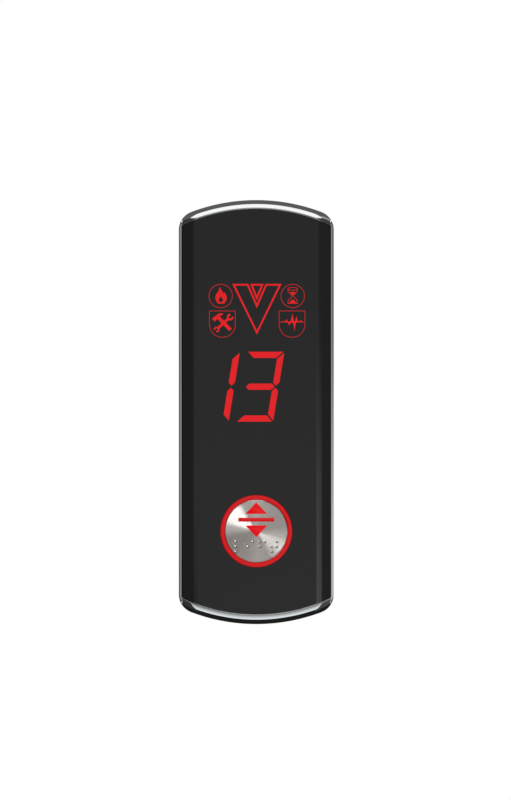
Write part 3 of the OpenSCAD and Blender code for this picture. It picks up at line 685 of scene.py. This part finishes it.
# %% Flame and hourglass
FLAME_EDGE = [
    (-0.4, 4.4), (0.1, 3.2), (0.9, 2.35), (1.3, 1.1), (1.75, 1.9), (2.6, 0.7), (3.05, -0.6), (2.9, -1.9),
    (2.3, -2.9), (1.4, -3.5), (-1.2, -3.5), (-2.0, -2.8), (-2.5, -1.8), (-2.6, -0.5), (-2.3, 0.7),
    (-1.8, 1.5), (-1.1, 2.3),
]
FLAME_HEART = [
    (0.1, -0.2), (0.75, -1.2), (1.2, -2.1), (0.8, -2.8),
    (0.1, -3.0), (-0.65, -2.8), (-1.05, -2.1), (-0.6, -1.2),
]
flame = [
    round_field(),
    between(curve(FLAME_EDGE, 120, loop=True), curve(FLAME_HEART, 120, loop=True), loop=True),
    band([(-1.8, -3.65), (2.0, -3.65)], 0.3),
]
GLASS_STROKE = 0.24
glass_side = [(2.3, 3.35), (2.2, 2.2), (1.0, 0.85), (0.28, 0.0), (1.0, -0.85), (2.2, -2.2), (2.3, -3.5)]
glass_top = np.array([0, 3.6]) + arc(0, 0, 1, 0, 360, 41)[:-1] * [2.35, 0.72]
hourglass = [
    round_field(),
    band(glass_top, GLASS_STROKE, loop=True),
    band(curve(glass_side, 40), GLASS_STROKE),
    band(curve(glass_side, 40) * [-1, 1], GLASS_STROKE),
    band([(0, 1.95), (0, 0.25)], [2.9, 0.15]),
    band(curve([(0, -1.9), (0, -2.3), (0, -2.9), (0, -3.4)], 12), np.linspace(0.05, 1, 12) ** 0.7 * 3.3),
    band([(-2.5, -3.65), (2.5, -3.65)], 0.4),
]
sign("sign_flame", (-17.8, ROUND_UP), flame)
sign("sign_hourglass", (18.2, ROUND_UP), hourglass)

# %% Tools and pulse
tools = [
    shield_field(),
    band([(-2.3, 3.6), (4.1, -2.9)], 1.7),
    band(curve([(-4.5, 2.0), (-3.3, 3.1), (-2.1, 4.2), (-0.8, 4.9), (0.3, 5.0)], 24),
         np.interp(np.linspace(0, 1, 24), [0, 0.2, 0.25, 0.6, 1], [1.9, 1.9, 1.5, 1.5, 0.4])),
    band([(-2.3, -2.2), (3.1, 2.8)], 1.3),
    band(arc(3.9, 3.5, 1.2, 85, 365, 28), 0.95),
    band(arc(-2.9, -2.7, 1.0, 265, 545, 28), 0.8),
]
PULSE_UP = 1.0
beat = np.array([
    (-5.8, 0.1, -0.2), (-4.5, 0.4, -0.1), (-3.4, 0.4, -0.1), (-2.7, 1.5, 0.0), (-2.1, 0.3, -0.4),
    (-1.3, 0.2, -1.7), (-0.7, 0.6, -0.3), (0.2, 4.2, -0.2), (0.8, 1.2, -1.4), (1.3, 0.3, -4.4),
    (1.7, 0.7, -1.2), (2.2, 3.1, -0.1), (2.9, 0.5, -0.1), (3.6, 0.4, -0.1), (4.35, 1.0, -0.1),
    (5.0, 0.3, -0.1), (5.8, 0.1, -0.2),
])
beat[:, 1:] += PULSE_UP
pulse = [shield_field(), between(beat[:, ::2], beat[:, :2])]
sign("sign_tools", (-16.95, SHIELD_UP), tools)
sign("sign_pulse", (17.85, SHIELD_UP), pulse)

# %% [markdown]
# ### Direction arrow
# The arrow says which way the car travels. It is a plain pointed chevron in outline with a small outlined
# triangle in its notch.

# %% Direction arrow
ARROW_STROKE = 0.9
chevron = [(-11.6, 12.2), (-4.6, 12.2), (0.0, 1.6), (4.6, 12.2), (11.6, 12.2), (0.0, -11.6)]
notch = [(-2.7, 12.2), (2.7, 12.2), (0.0, 5.6)]
arrow = [band(chevron, ARROW_STROKE, loop=True), band(notch, ARROW_STROKE, loop=True)]
sign("sign_arrow", (0.3, 51.4), arrow)

# %% [markdown]
# ## The halo ring and the button
# The ring round the button is a light guide with soft front edges, so its profile is turned with small arcs.
# Behind the plate a coil spring pushes the button out. It is a wire along a helix, and it shortens with the
# press as the real one does. The push plate, its sign insert and the other turned parts are right as they
# are in the solids. A copy of each is merged and shaded smooth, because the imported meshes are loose
# triangles that would shade as facets.

# %% Halo ring
HALO_W, HALO_EDGE = 2.1, 0.4
HALO_OUT = halo_high[0]
HALO_IN = HALO_OUT - HALO_W
HALO_FRONT, HALO_BACK = -halo_low[1], -halo_high[1]
halo_profile = np.concatenate([
    [(HALO_IN, HALO_BACK), (HALO_OUT, HALO_BACK)],
    arc(HALO_OUT - HALO_EDGE, HALO_FRONT - HALO_EDGE, HALO_EDGE, 0, 90, 7),
    arc(HALO_IN + HALO_EDGE, HALO_FRONT - HALO_EDGE, HALO_EDGE, 90, 180, 7),
])
piece("halo_light_ring", turned_ring(halo_profile, 0, BUTTON_UP, 192), "panel", "lit_red", ["halo_ring"])

# %% Return spring
WIRE_R, COIL_R, TURNS = 0.35, 6.6, 2.5
COIL_STEPS, WIRE_SIDES = 121, 14
spring_low, spring_high = box_mm("return_spring")


def coil():
    """A tube along a helix: a small circle of the wire's radius, carried round the coil while it climbs,
    with a flat face at each end."""
    turn = np.linspace(0, TURNS * 2 * np.pi, COIL_STEPS)[:, None]
    side = np.linspace(0, 2 * np.pi, WIRE_SIDES, endpoint=False)
    back, front = -spring_high[1] + WIRE_R, -spring_low[1] - WIRE_R
    radius = COIL_R + WIRE_R * np.cos(side)
    depth = back + (front - back) * turn / turn[-1] + WIRE_R * np.sin(side)
    points = stand(radius * np.cos(turn), BUTTON_UP + radius * np.sin(turn), depth)
    rim = np.arange(WIRE_SIDES)
    ends = np.stack([rim[::-1], rim + len(points) - WIRE_SIDES])
    return points, [grid_faces(COIL_STEPS, WIRE_SIDES, loop_columns=True)[:, ::-1], ends]


spring = piece("return_spring_wire", coil(), "panel", "spring_steel", ["return_spring"])
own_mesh(spring)

# %% Smooth copies of turned parts


def smooth_copy(node):
    """A copy of a node's mesh, merged and shaded smooth, that stands for the node on the same body. Large
    faces decide the shading at their corners, so that flat faces stay flat beside small rounded edges."""
    source = frame["nodes"][node]
    mesh = source.data.copy()
    shade(mesh, join_flats=True)
    made = bpy.data.objects.new(node + "_smooth", mesh)
    bpy.context.scene.collection.objects.link(made)
    flats = made.modifiers.new("flats", "WEIGHTED_NORMAL")
    flats.keep_sharp = True
    flats.weight = 100
    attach(made, source["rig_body"])
    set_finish(made, source.data.materials[0].name)
    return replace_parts(made, node)


TURNED = [
    "button_plate", "symbol_diffuser", "button_plunger", "cable_bushing", "lock_screw", "board_screws",
    "housing_screws", "button_housing", "button_gasket", "buzzer", "wall_plate", "switch_plunger",
]
copies = {node: smooth_copy(node) for node in TURNED}
print("smooth copies:", len(copies))

# %% [markdown]
# ## Writing materials as sums
# A material is a small calculation for each point of a surface. Written with nodes by hand that takes many
# lines, so one class wraps a node's output and lets Python's own operators add the Math nodes. Any other
# node comes from its `add` method. Vectors use Vector Math, and colours are mixed by a mask.

# %% Values in a material


class Wire:
    """One value in a material, held by a socket."""

    def __init__(self, tree, socket=None):
        self.tree = tree
        self.socket = socket

    def add(self, kind, settings=None, sockets=None, out=0):
        """Adds a node of a kind: its settings first, then the values or links of its sockets."""
        node = self.tree.nodes.new("ShaderNode" + kind)
        for key, value in (settings or {}).items():
            setattr(node, key, value)
        for key, value in (sockets or {}).items():
            self.feed(node.inputs[key], value)
        return Wire(self.tree, node.outputs[out])

    def feed(self, socket, value):
        """Links a wire to a socket, or sets a plain value on the socket itself."""
        if isinstance(value, Wire):
            self.tree.links.new(value.socket, socket)
        else:
            socket.default_value = value

    def work(self, operation, *values):
        """A Math node, or a Vector Math node if a vector takes part; a number then fills all three."""
        vector = any(isinstance(v, Wire) and v.socket.type == "VECTOR" for v in values)
        if vector:
            values = [(v,) * 3 if isinstance(v, (int, float)) else v for v in values]
        kind = "VectorMath" if vector else "Math"
        return self.add(kind, {"operation": operation}, dict(enumerate(values)))

    def __add__(self, other):
        return self.work("ADD", self, other)

    def __sub__(self, other):
        return self.work("SUBTRACT", self, other)

    def __rsub__(self, other):
        return self.work("SUBTRACT", other, self)

    def __mul__(self, other):
        return self.work("MULTIPLY", self, other)

    def __truediv__(self, other):
        return self.work("DIVIDE", self, other)

    def __rtruediv__(self, other):
        return self.work("DIVIDE", other, self)

    __radd__ = __add__
    __rmul__ = __mul__

    def part(self, axis):
        """One of the three numbers of a vector."""
        return self.add("SeparateXYZ", sockets={0: self}, out=axis)

    def length(self):
        """How long a vector is."""
        return self.add("VectorMath", {"operation": "LENGTH"}, {0: self}, out="Value")

    def unit(self):
        """The direction of a vector, at length 1."""
        return self.work("NORMALIZE", self)

    def ramp(self, low, high):
        """0 below low and 1 above high, with a soft step between them."""
        settings = {"interpolation_type": "SMOOTHSTEP"}
        return self.add("MapRange", settings, {"Value": self, "From Min": low, "From Max": high})

    def mix(self, low, high):
        """A colour between two colours, by this mask."""
        low, high = (colour if isinstance(colour, Wire) else (*colour, 1) for colour in (low, high))
        return self.add("Mix", {"data_type": "RGBA"}, {0: self, 6: low, 7: high}, out=2)

    def noise(self, scale, detail=2.0):
        """Soft noise from 0 to 1 at a place, with so many features to a metre."""
        return self.add("TexNoise", None, {"Vector": self, "Scale": scale, "Detail": detail})

    def bump(self, distance, strength=1.0):
        """A surface normal that is tilted as if this value were a height, over that many metres."""
        return self.add("Bump", None, {"Height": self, "Distance": distance, "Strength": strength})


# %% Painting a slot
paints = {}


def paint(slot, recipe, **fixed):
    """A material for a slot of the record. Fixed sockets hold one value all over the surface; the recipe
    gets the place of a point, in metres, and returns the sockets that vary."""
    made = bpy.data.materials.new(slot + "_finish")
    made.use_nodes = True
    shader = made.node_tree.nodes["Principled BSDF"]
    place = Wire(made.node_tree).add("TexCoord", out="Object")
    sockets = {name.replace("_", " "): value for name, value in fixed.items()}
    for name, value in {**sockets, **recipe(place)}.items():
        place.feed(shader.inputs[name], (*value, 1) if isinstance(value, tuple) else value)
    paints[slot] = made
    print(f"{made.name}: {len(made.node_tree.nodes)} nodes")


print("slots to paint:", len({node.data.materials[0].name for node in frame["nodes"].values()}))

# %% [markdown]
# ## Bright metals
# Polished chrome has hardly a colour of its own. What makes it look real is a trace of haze that varies over
# a few centimetres, and hairlines from the polishing. Zinc plating on the wall plate is softer, with faint
# crystals, and drawn or turned steel lies between the two.

# %% Chrome, zinc and steel


def chrome(place):
    """Low roughness, raised a little by slow noise and a little more by stretched hairlines."""
    haze = place.noise(70.0, 3.0)
    hairline = (place * (900.0, 900.0, 60.0)).noise(1.0, 4.0)
    return {"Roughness": 0.03 + haze * 0.035 + hairline * 0.02}


def zinc(place):
    """Crystals of a few millimetres in two greys, a rolled grain, and roughness that follows both."""
    ragged = place + place.noise(300.0) * 0.002
    crystal = place.add("TexVoronoi", None, {"Vector": ragged, "Scale": 220.0}, out="Color")
    spangle = crystal.add("RGBToBW", None, {0: crystal})
    grain = (place * (3000.0, 3000.0, 40.0)).noise(1.0, 3.0)
    tone = spangle * 0.55 + grain * 0.45
    return {
        "Base Color": tone.mix((0.50, 0.52, 0.55), (0.70, 0.72, 0.74)),
        "Roughness": 0.24 + tone * 0.2,
        "Normal": (grain * 0.3 + spangle * 0.2).bump(0.00006),
    }


def machined(place):
    """Fine turning marks: noise that is stretched across, in the roughness and as a slight bump."""
    mark = (place * (400.0, 6000.0, 400.0)).noise(1.0, 2.0)
    return {"Roughness": 0.2 + mark * 0.2, "Normal": mark.bump(0.00003)}


paint("chrome", chrome, Base_Color=(0.93, 0.94, 0.95), Metallic=1.0)
paint("zinc_steel", zinc, Metallic=1.0)
paint("screw_steel", machined, Base_Color=(0.62, 0.63, 0.65), Metallic=1.0)
paint("spring_steel", machined, Base_Color=(0.52, 0.52, 0.54), Metallic=1.0)
paint("contact_brass", machined, Base_Color=(0.78, 0.58, 0.26), Metallic=1.0)

# %% [markdown]
# ## The spun push plate
# The plate is brushed while it spins, so its scratches are circles round the middle. Each groove leans the
# surface inwards and outwards, and light from one side comes back as two fans. A bump map would lose grooves
# that are finer than a pixel. So the lean is worked out directly: the direction away from the middle, times
# a sawtooth along the radius, is added to the plate's own normal.

# %% Spun steel
GROOVE_PITCH = 0.0001
GROOVE_LEAN = 0.32
DOT_H = 0.6
PLATE_FACE = (box_mm("button_plate")[0][1] + DOT_H) * MM


def from_button(place):
    """The way from the button's axis to a point, across and up."""
    return (place - (0.0, 0.0, BUTTON_UP * MM)) * (1.0, 0.0, 1.0)


def spun_steel(place):
    """The normal leans along the radius by a sawtooth of the distance from the plate's middle, only on the
    flat face and not on the dots that stand out of it; tone and roughness vary from groove to groove. The
    raised dots get a much darker base colour than the plate: painted shade that keeps them dark beside the
    highlight of their lamp."""
    away = from_button(place)
    radius = away.length()
    groove = radius.work("FRACT", radius / GROOVE_PITCH)
    along = {"W": radius, "Scale": 9000.0, "Detail": 2.0}
    coarse = radius.add("TexNoise", {"noise_dimensions": "1D"}, along)
    facing = place.add("NewGeometry", out="Normal")
    below_dots = place.part(1).ramp(PLATE_FACE - 0.03 * MM, PLATE_FACE - 0.01 * MM)
    flat = (0.0 - facing.part(1)).ramp(0.9, 0.98) * below_dots
    lean = (groove * 1.75 - 0.75) * (0.9 + coarse * 0.2) * GROOVE_LEAN * flat
    return {
        # Painted shade: the raised dots, the same steel as the plate, get a dark base colour so that they
        # read dark round their highlight.
        "Base Color": (coarse * 0.3 + below_dots * 0.7).mix((0.25, 0.245, 0.24), (0.92, 0.85, 0.80)),
        "Roughness": 0.3 + coarse * 0.06 - below_dots * 0.19,
        "Normal": (facing + away.unit() * lean).unit(),
    }


paint("brushed_steel", spun_steel, Metallic=1.0)

# %% [markdown]
# ## The dark lens and the red light
# The lens is so dark that only its gloss shows, with the finest wipe marks in it. Whatever is lit glows by
# itself, with slow variation and a fine grain, a little deeper in the ring round the button and in the bar
# on it, under the same gloss as the lens.

# %% Lens and light


def smoked(place):
    """Nearly black, with wipe marks that change the gloss a little."""
    wipe = (place * (180.0, 180.0, 25.0)).noise(1.0, 4.0)
    speck = place.noise(4000.0, 1.0)
    return {
        "Base Color": wipe.mix((0.0064, 0.0065, 0.0067), (0.0076, 0.0076, 0.0078)),
        "Roughness": 0.045 + wipe * 0.04 + speck * 0.01,
    }


BAR_UP, BAR_HALF, BAR_SOFT = 5.8, 1.5, 0.3
RING_IN, RING_OUT, RING_SOFT = HALO_IN * MM, HALO_OUT * MM, 0.2 * MM


def lit(place):
    """Red light with slow variation and a fine grain from the diffusing plastic, a little deeper in the ring
    round the button and in the bar on it."""
    cloud = place.noise(160.0, 2.0)
    grain = place.noise(5000.0, 1.0)
    reach = from_button(place).length()
    ring = reach.ramp(RING_IN - RING_SOFT, RING_IN) * reach.ramp(RING_OUT + RING_SOFT, RING_OUT)
    above = (place.part(2) - (BUTTON_UP + BAR_UP) * MM) / MM
    bar = above.ramp(-BAR_HALF, BAR_SOFT - BAR_HALF) * above.ramp(BAR_HALF, BAR_HALF - BAR_SOFT)
    on_plate = reach.ramp(RING_IN, RING_IN - 0.5 * MM)
    tone = 0.6 + cloud * 0.3 + grain * 0.1 - ring * 0.5 - bar * on_plate * 0.45
    return {
        "Emission Color": tone.mix((0.46, 0.0, 0.002), (0.76, 0.002, 0.006)),
        "Roughness": 0.16 + grain * 0.1,
    }


paint("smoked_acrylic", smoked)
paint("lit_red", lit, Base_Color=(0.04, 0.001, 0.001), Emission_Strength=1.0)

# %% [markdown]
# ## Plastics, rubber and the board
# Moulded plastic takes its grain from the tool, a fine leather of dents. One recipe serves them all, with
# its own colours and coarseness. The board has a lacquer over copper, so straight tracks show faintly.

# %% Moulded parts and the board


def moulded(dark, light, grain_scale, gloss):
    """A recipe: two tones mixed by slow noise, and a grain in the roughness and as a bump."""

    def recipe(place):
        tone = place.noise(120.0, 3.0)
        grain = place.noise(grain_scale, 2.0)
        return {
            "Base Color": tone.mix(dark, light),
            "Roughness": gloss + grain * 0.2,
            "Normal": grain.bump(0.00004, 0.6),
        }

    return recipe


def lacquered(place):
    """Green lacquer; tracks are the rows and columns of a brick pattern, lighter over the copper."""
    flat = place.add("CombineXYZ", None, {0: place.part(0), 1: place.part(2)})
    track = place.add("TexBrick", None, {"Vector": flat, "Scale": 220.0, "Mortar Size": 0.03}, out="Fac")
    cloud = place.noise(300.0)
    return {
        "Base Color": (track * 0.7 + cloud * 0.3).mix((0.008, 0.085, 0.035), (0.03, 0.19, 0.08)),
        "Roughness": 0.28 + cloud * 0.15,
        "Normal": track.bump(0.00004),
    }


paint("black_plastic", moulded((0.014, 0.014, 0.015), (0.024, 0.024, 0.026), 2600.0, 0.38))
paint("grey_plastic", moulded((0.042, 0.042, 0.042), (0.06, 0.06, 0.06), 2600.0, 0.5))
paint("white_plastic", moulded((0.70, 0.70, 0.68), (0.80, 0.80, 0.78), 2200.0, 0.45))
paint("ivory_plastic", moulded((0.64, 0.60, 0.48), (0.74, 0.70, 0.58), 2200.0, 0.42))
paint("led_white", moulded((0.74, 0.74, 0.70), (0.84, 0.84, 0.80), 3000.0, 0.2))
paint("dark_red", moulded((0.040, 0.009, 0.010), (0.060, 0.015, 0.016), 2600.0, 0.3))
paint("black_rubber", moulded((0.010, 0.010, 0.010), (0.020, 0.020, 0.020), 1500.0, 0.62))
paint("board_green", lacquered)

# %% Every piece gets its finish
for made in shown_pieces():
    slot_name = made.get("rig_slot") or made.data.materials[0].name
    made.data.materials.clear()
    made.data.materials.append(paints[slot_name])

# %% [markdown]
# ## Camera
# The panel is seen square on from far away, so a long lens is used. The frame of the picture is a set height
# at the panel's front, and the focal length follows from that and the distance.

# %% Camera
PICTURE_H = 399.6
CAMERA_AT = np.array([-0.4, 6.05])
CAMERA_FAR = 6000.0
camera = bpy.data.objects.new("camera", bpy.data.cameras.new("camera"))
bpy.context.scene.collection.objects.link(camera)
camera.location = Vector((CAMERA_AT[0], -DEPTH - CAMERA_FAR, CAMERA_AT[1])) * MM
camera.rotation_euler = (np.pi / 2, 0, 0)
camera.data.lens = camera.data.sensor_width * CAMERA_FAR / PICTURE_H
bpy.context.scene.camera = camera
bpy.context.scene.view_settings.view_transform = "Standard"
print(f"focal length {camera.data.lens:.0f} mm")

# %% [markdown]
# ## The studio
# The background is white to the camera and in reflections, and dimmer as a light, so that colours come out
# as written. The floor is a pale disc that takes the shadow and fades out into the white.

# %% World
WORLD_LIGHT = 0.55
world = bpy.data.worlds.new("studio")
bpy.context.scene.world = world
world.use_nodes = True


def seen_as_backdrop(start):
    """1 where a ray comes from the camera, a mirror or a glass, and 0 where it lights a surface."""
    rays = "Is Camera Ray", "Is Glossy Ray", "Is Transmission Ray"
    camera_ray, glossy, through = (start.add("LightPath", out=name) for name in rays)
    return start.work("MAXIMUM", start.work("MAXIMUM", camera_ray, glossy), through)


start = Wire(world.node_tree)
background = world.node_tree.nodes["Background"]
background.inputs["Color"].default_value = (1, 1, 1, 1)
start.feed(background.inputs["Strength"], WORLD_LIGHT + seen_as_backdrop(start) * (1 - WORLD_LIGHT))
print(f"as a light the white background counts {WORLD_LIGHT:.0%}")

# %% Floor
FLOOR_UP, FLOOR_R = -0.30, 0.62
FLOOR_HOLE, FLOOR_FULL = 0.02, 0.4


def disc(radius, up, rings=6, steps=64):
    """A flat round floor: rings of growing radius, with a small hole at the middle that one face closes."""
    r = np.linspace(FLOOR_HOLE, 1, rings)[:, None] * radius
    angle = np.linspace(0, 2 * np.pi, steps, endpoint=False)
    points = np.stack([r * np.cos(angle), r * np.sin(angle), np.full((rings, steps), up)], axis=-1)
    return points.reshape(-1, 3), [grid_faces(rings, steps, loop_columns=True), np.arange(steps)[None]]


def studio_piece(name, shape):
    """A piece of the studio: a mesh that is no part of the panel, with an empty material to fill."""
    points, groups = shape
    mesh = bpy.data.meshes.new(name)
    mesh.from_pydata(points.tolist(), [], [f for g in groups for f in g.tolist()])
    mesh.shade_smooth()
    made = bpy.data.objects.new(name, mesh)
    bpy.context.scene.collection.objects.link(made)
    material = bpy.data.materials.new(name)
    material.use_nodes = True
    material.node_tree.nodes.clear()
    mesh.materials.append(material)
    return made, Wire(material.node_tree)


def set_surface(start, shader):
    """Ends a material: the shader goes to its output."""
    output = start.tree.nodes.new("ShaderNodeOutputMaterial")
    start.feed(output.inputs["Surface"], shader)


floor, start = studio_piece("floor", disc(FLOOR_R, FLOOR_UP))
place = start.add("TexCoord", out="Object")
fade = (place * (1.0, 1.0, 0.0)).length().ramp(FLOOR_R, FLOOR_R * FLOOR_FULL)
glow = start.add("Emission", None, {"Color": (1, 1, 1, 1), "Strength": seen_as_backdrop(start) * 0.5})
pale = start.add("BsdfDiffuse", None, {"Color": (0.45, 0.45, 0.45, 1)})
ground = start.add("AddShader", None, {0: glow, 1: pale})
clear = start.add("BsdfTransparent")
set_surface(start, start.add("MixShader", None, {0: fade, 1: clear, 2: ground}))
floor.visible_glossy = False
print(f"floor {2 * FLOOR_R} m across, {-FLOOR_UP} m below the panel's middle")

# %% [markdown]
# ## Cards
# A mirror needs something dark to reflect, or it looks like white paper. Photographers hang grey and black
# cards round such an object, and so does this studio. Each card is a patch of a large sphere with soft edges
# that only reflections see: a grey surround, one at the camera that gives the lens its tone, dim sides, a
# dark ceiling and floor, and dark corners that taper the bright stripe along each bow. Two are meant for one
# piece alone: a strip that draws the light line in the bend of the lens, and a glow on the push plate.

# %% Patches and their maps
CARD_R, CARD_STEPS, LAYER_GAP = 3.4, 24, 0.05


def patch(radius, pitch, side, upright=False):
    """A patch of a sphere between two pairs of angles in degrees. Lying patches pitch up from the camera's
    side over the top and reach to the sides; upright ones turn round the panel and reach up and down."""
    angles = (np.radians(np.linspace(*span, CARD_STEPS)) for span in (pitch, side))
    u, v = np.meshgrid(*angles, indexing="ij")
    turned, out, across = np.sin(u) * np.cos(v), np.cos(u) * np.cos(v), np.sin(v)
    x, z = (turned, across) if upright else (across, turned)
    points = np.stack([x, -out, z], axis=-1).reshape(-1, 3) * radius
    return points, [grid_faces(CARD_STEPS, CARD_STEPS)]


def card_map(made, start):
    """Two values in a card's material that run from 0 to 1 along its two angles, kept in a UV map."""
    share = np.linspace(0, 1, CARD_STEPS)
    places = np.stack(np.meshgrid(share, share, indexing="ij"), axis=-1).reshape(-1, 2)
    corners = np.zeros(len(made.data.loops), int)
    made.data.loops.foreach_get("vertex_index", corners)
    layout = made.data.uv_layers.new(name="card")
    layout.data.foreach_set("uv", places[corners].ravel())
    place = start.add("UVMap", {"uv_map": "card"})
    return place.part(0), place.part(1)


print("points in a card:", CARD_STEPS**2)

# %% Cards


def shine_only_on(made, target):
    """Links a lamp or a card to a single piece, as if through a snoot."""
    made.light_linking.receiver_collection = bpy.data.collections.new(made.name + "_reach")
    made.light_linking.receiver_collection.objects.link(target)


def card(name, pitch, side, levels, soft, upright=False, tint=(1.0, 1.0, 1.0), layer=0, only=None):
    """A card that only reflections see. Its brightness runs from the first level to the second across its
    first angle, and it fades out at its edges over some degrees of each angle. Higher layers hang nearer the
    panel. One that is meant for a single piece adds its light to whatever hangs behind it."""
    made, start = studio_piece(name, patch(CARD_R - LAYER_GAP * layer, pitch, side, upright))
    along, over = card_map(made, start)
    edge = 1.0
    for value, span, degrees in ((along, pitch, soft[0]), (over, side, soft[1])):
        share = degrees / (span[1] - span[0])
        edge = edge * value.ramp(0.0, share) * value.ramp(1.0, 1 - share)
    near, far = (tuple(level * channel for channel in tint) for level in levels)
    tone = along.mix(near, far)
    glow = start.add("Emission", None, {"Color": edge.mix((0.0, 0.0, 0.0), tone) if only else tone})
    clear = start.add("BsdfTransparent")
    if only:
        shine_only_on(made, only)
        set_surface(start, start.add("AddShader", None, {0: clear, 1: glow}))
    else:
        set_surface(start, start.add("MixShader", None, {0: edge, 1: clear, 2: glow}))
    made.visible_camera = made.visible_diffuse = made.visible_transmission = False
    made.visible_shadow = made.visible_volume_scatter = False
    return made


COOL = (0.93, 0.98, 1.0)
MINT = (0.94, 1.0, 0.98)
plate = copies["button_plate"]
cards = [
    card("card_surround", (-82, 82), (-46, 40), (0.185, 0.25), (9, 9), upright=True),
    card("card_camera", (-16, 16), (-42, 40), (0.87, 0.13), (9, 26), layer=1),
    card("card_strip", (5, 55), (-8, 1.5), (0.85, 1.25), (12, 5), upright=True, layer=2, only=lens),
    card("card_dark_left", (-50, 0), (-26, -1.5), (0.0, 0.0), (5, 3), upright=True, layer=2),
    card("card_plate", (-10, 50), (3, 45), (0.30, 0.38), (8, 4), upright=True, layer=3, only=plate),
    card("card_left", (-190, -76), (-44, 54), (0.105, 0.115), (8, 8), upright=True, layer=3),
    card("card_right", (70, 190), (-44, 34), (0.14, 0.13), (8, 8), upright=True, layer=3),
    card("card_right_high", (76, 150), (32, 56), (0.34, 0.22), (8, 8), upright=True, layer=4),
    card("card_right_low", (55, 190), (-14, 1.5), (0.50, 0.54), (4, 4), upright=True, tint=MINT, layer=4),
    card("card_ceiling", (74, 165), (-45, 45), (0.10, 0.10), (6, 4), layer=5),
    card("card_low", (-88, -36), (-75, 75), (1.2, 0.27), (10, 10), tint=COOL, layer=5),
    card("card_floor", (-170, -72), (-82, 82), (0.012, 0.012), (6, 6), layer=6),
    card("card_upper_left", (-115, -24), (9, 41), (0.04, 0.035), (13, 4), upright=True, layer=7),
    card("card_upper_right", (24, 110), (9, 41), (0.04, 0.05), (13, 4), upright=True, layer=7),
    card("card_lower_left", (-108, -58), (-72, -7), (0.03, 0.035), (9, 5), upright=True, layer=7),
    card("card_lower_right", (60, 108), (-72, -7), (0.07, 0.05), (9, 5), upright=True, layer=7),
]
print("cards:", [o.name for o in cards])

# %% [markdown]
# ## Lamps
# A round lamp at the upper left gives the shadows, and a large soft one above the camera fills them;
# polished metal doesn't mirror either. The push plate has two lamps to itself, as if through a snoot, so
# that they don't glare in the frame: one makes the two fans on the spun steel, and a lower one lights the
# raised dots.

# %% Lamps
LAMP_FAR = 3.0


def lamp(name, polar, clock, size, radiance, only=None, tint=(1.0, 1.0, 1.0)):
    """A round area lamp at so many degrees from the camera's axis, at an angle on the dial that counts from
    the right. Its power is its radiance times its area times pi. One that is meant for a single piece
    shines on nothing else, and the others aren't mirrored."""
    polar, clock = np.radians([polar, clock])
    at = LAMP_FAR * np.array([np.sin(polar) * np.cos(clock), -np.cos(polar), np.sin(polar) * np.sin(clock)])
    data = bpy.data.lights.new(name, "AREA")
    data.shape = "DISK"
    data.size = size
    data.energy = radiance * np.pi * np.pi * size**2 / 4
    data.color = tint
    made = bpy.data.objects.new(name, data)
    bpy.context.scene.collection.objects.link(made)
    made.location = at
    made.rotation_euler = (-Vector(at)).to_track_quat("-Z", "Y").to_euler()
    made.visible_camera = False
    made.visible_glossy = only is not None
    if only:
        shine_only_on(made, only)
    return made


lamps = [
    lamp("key_lamp", 30, 154, 0.84, 4.0),
    lamp("fill_lamp", 42, 76, 1.6, 0.9),
    lamp("plate_lamp", 30, 146, 1.18, 4.5, plate, COOL),
    lamp("dot_lamp", 62, 140, 2.6, 12.0, plate),
]
print("lamps:", [o.name for o in lamps])
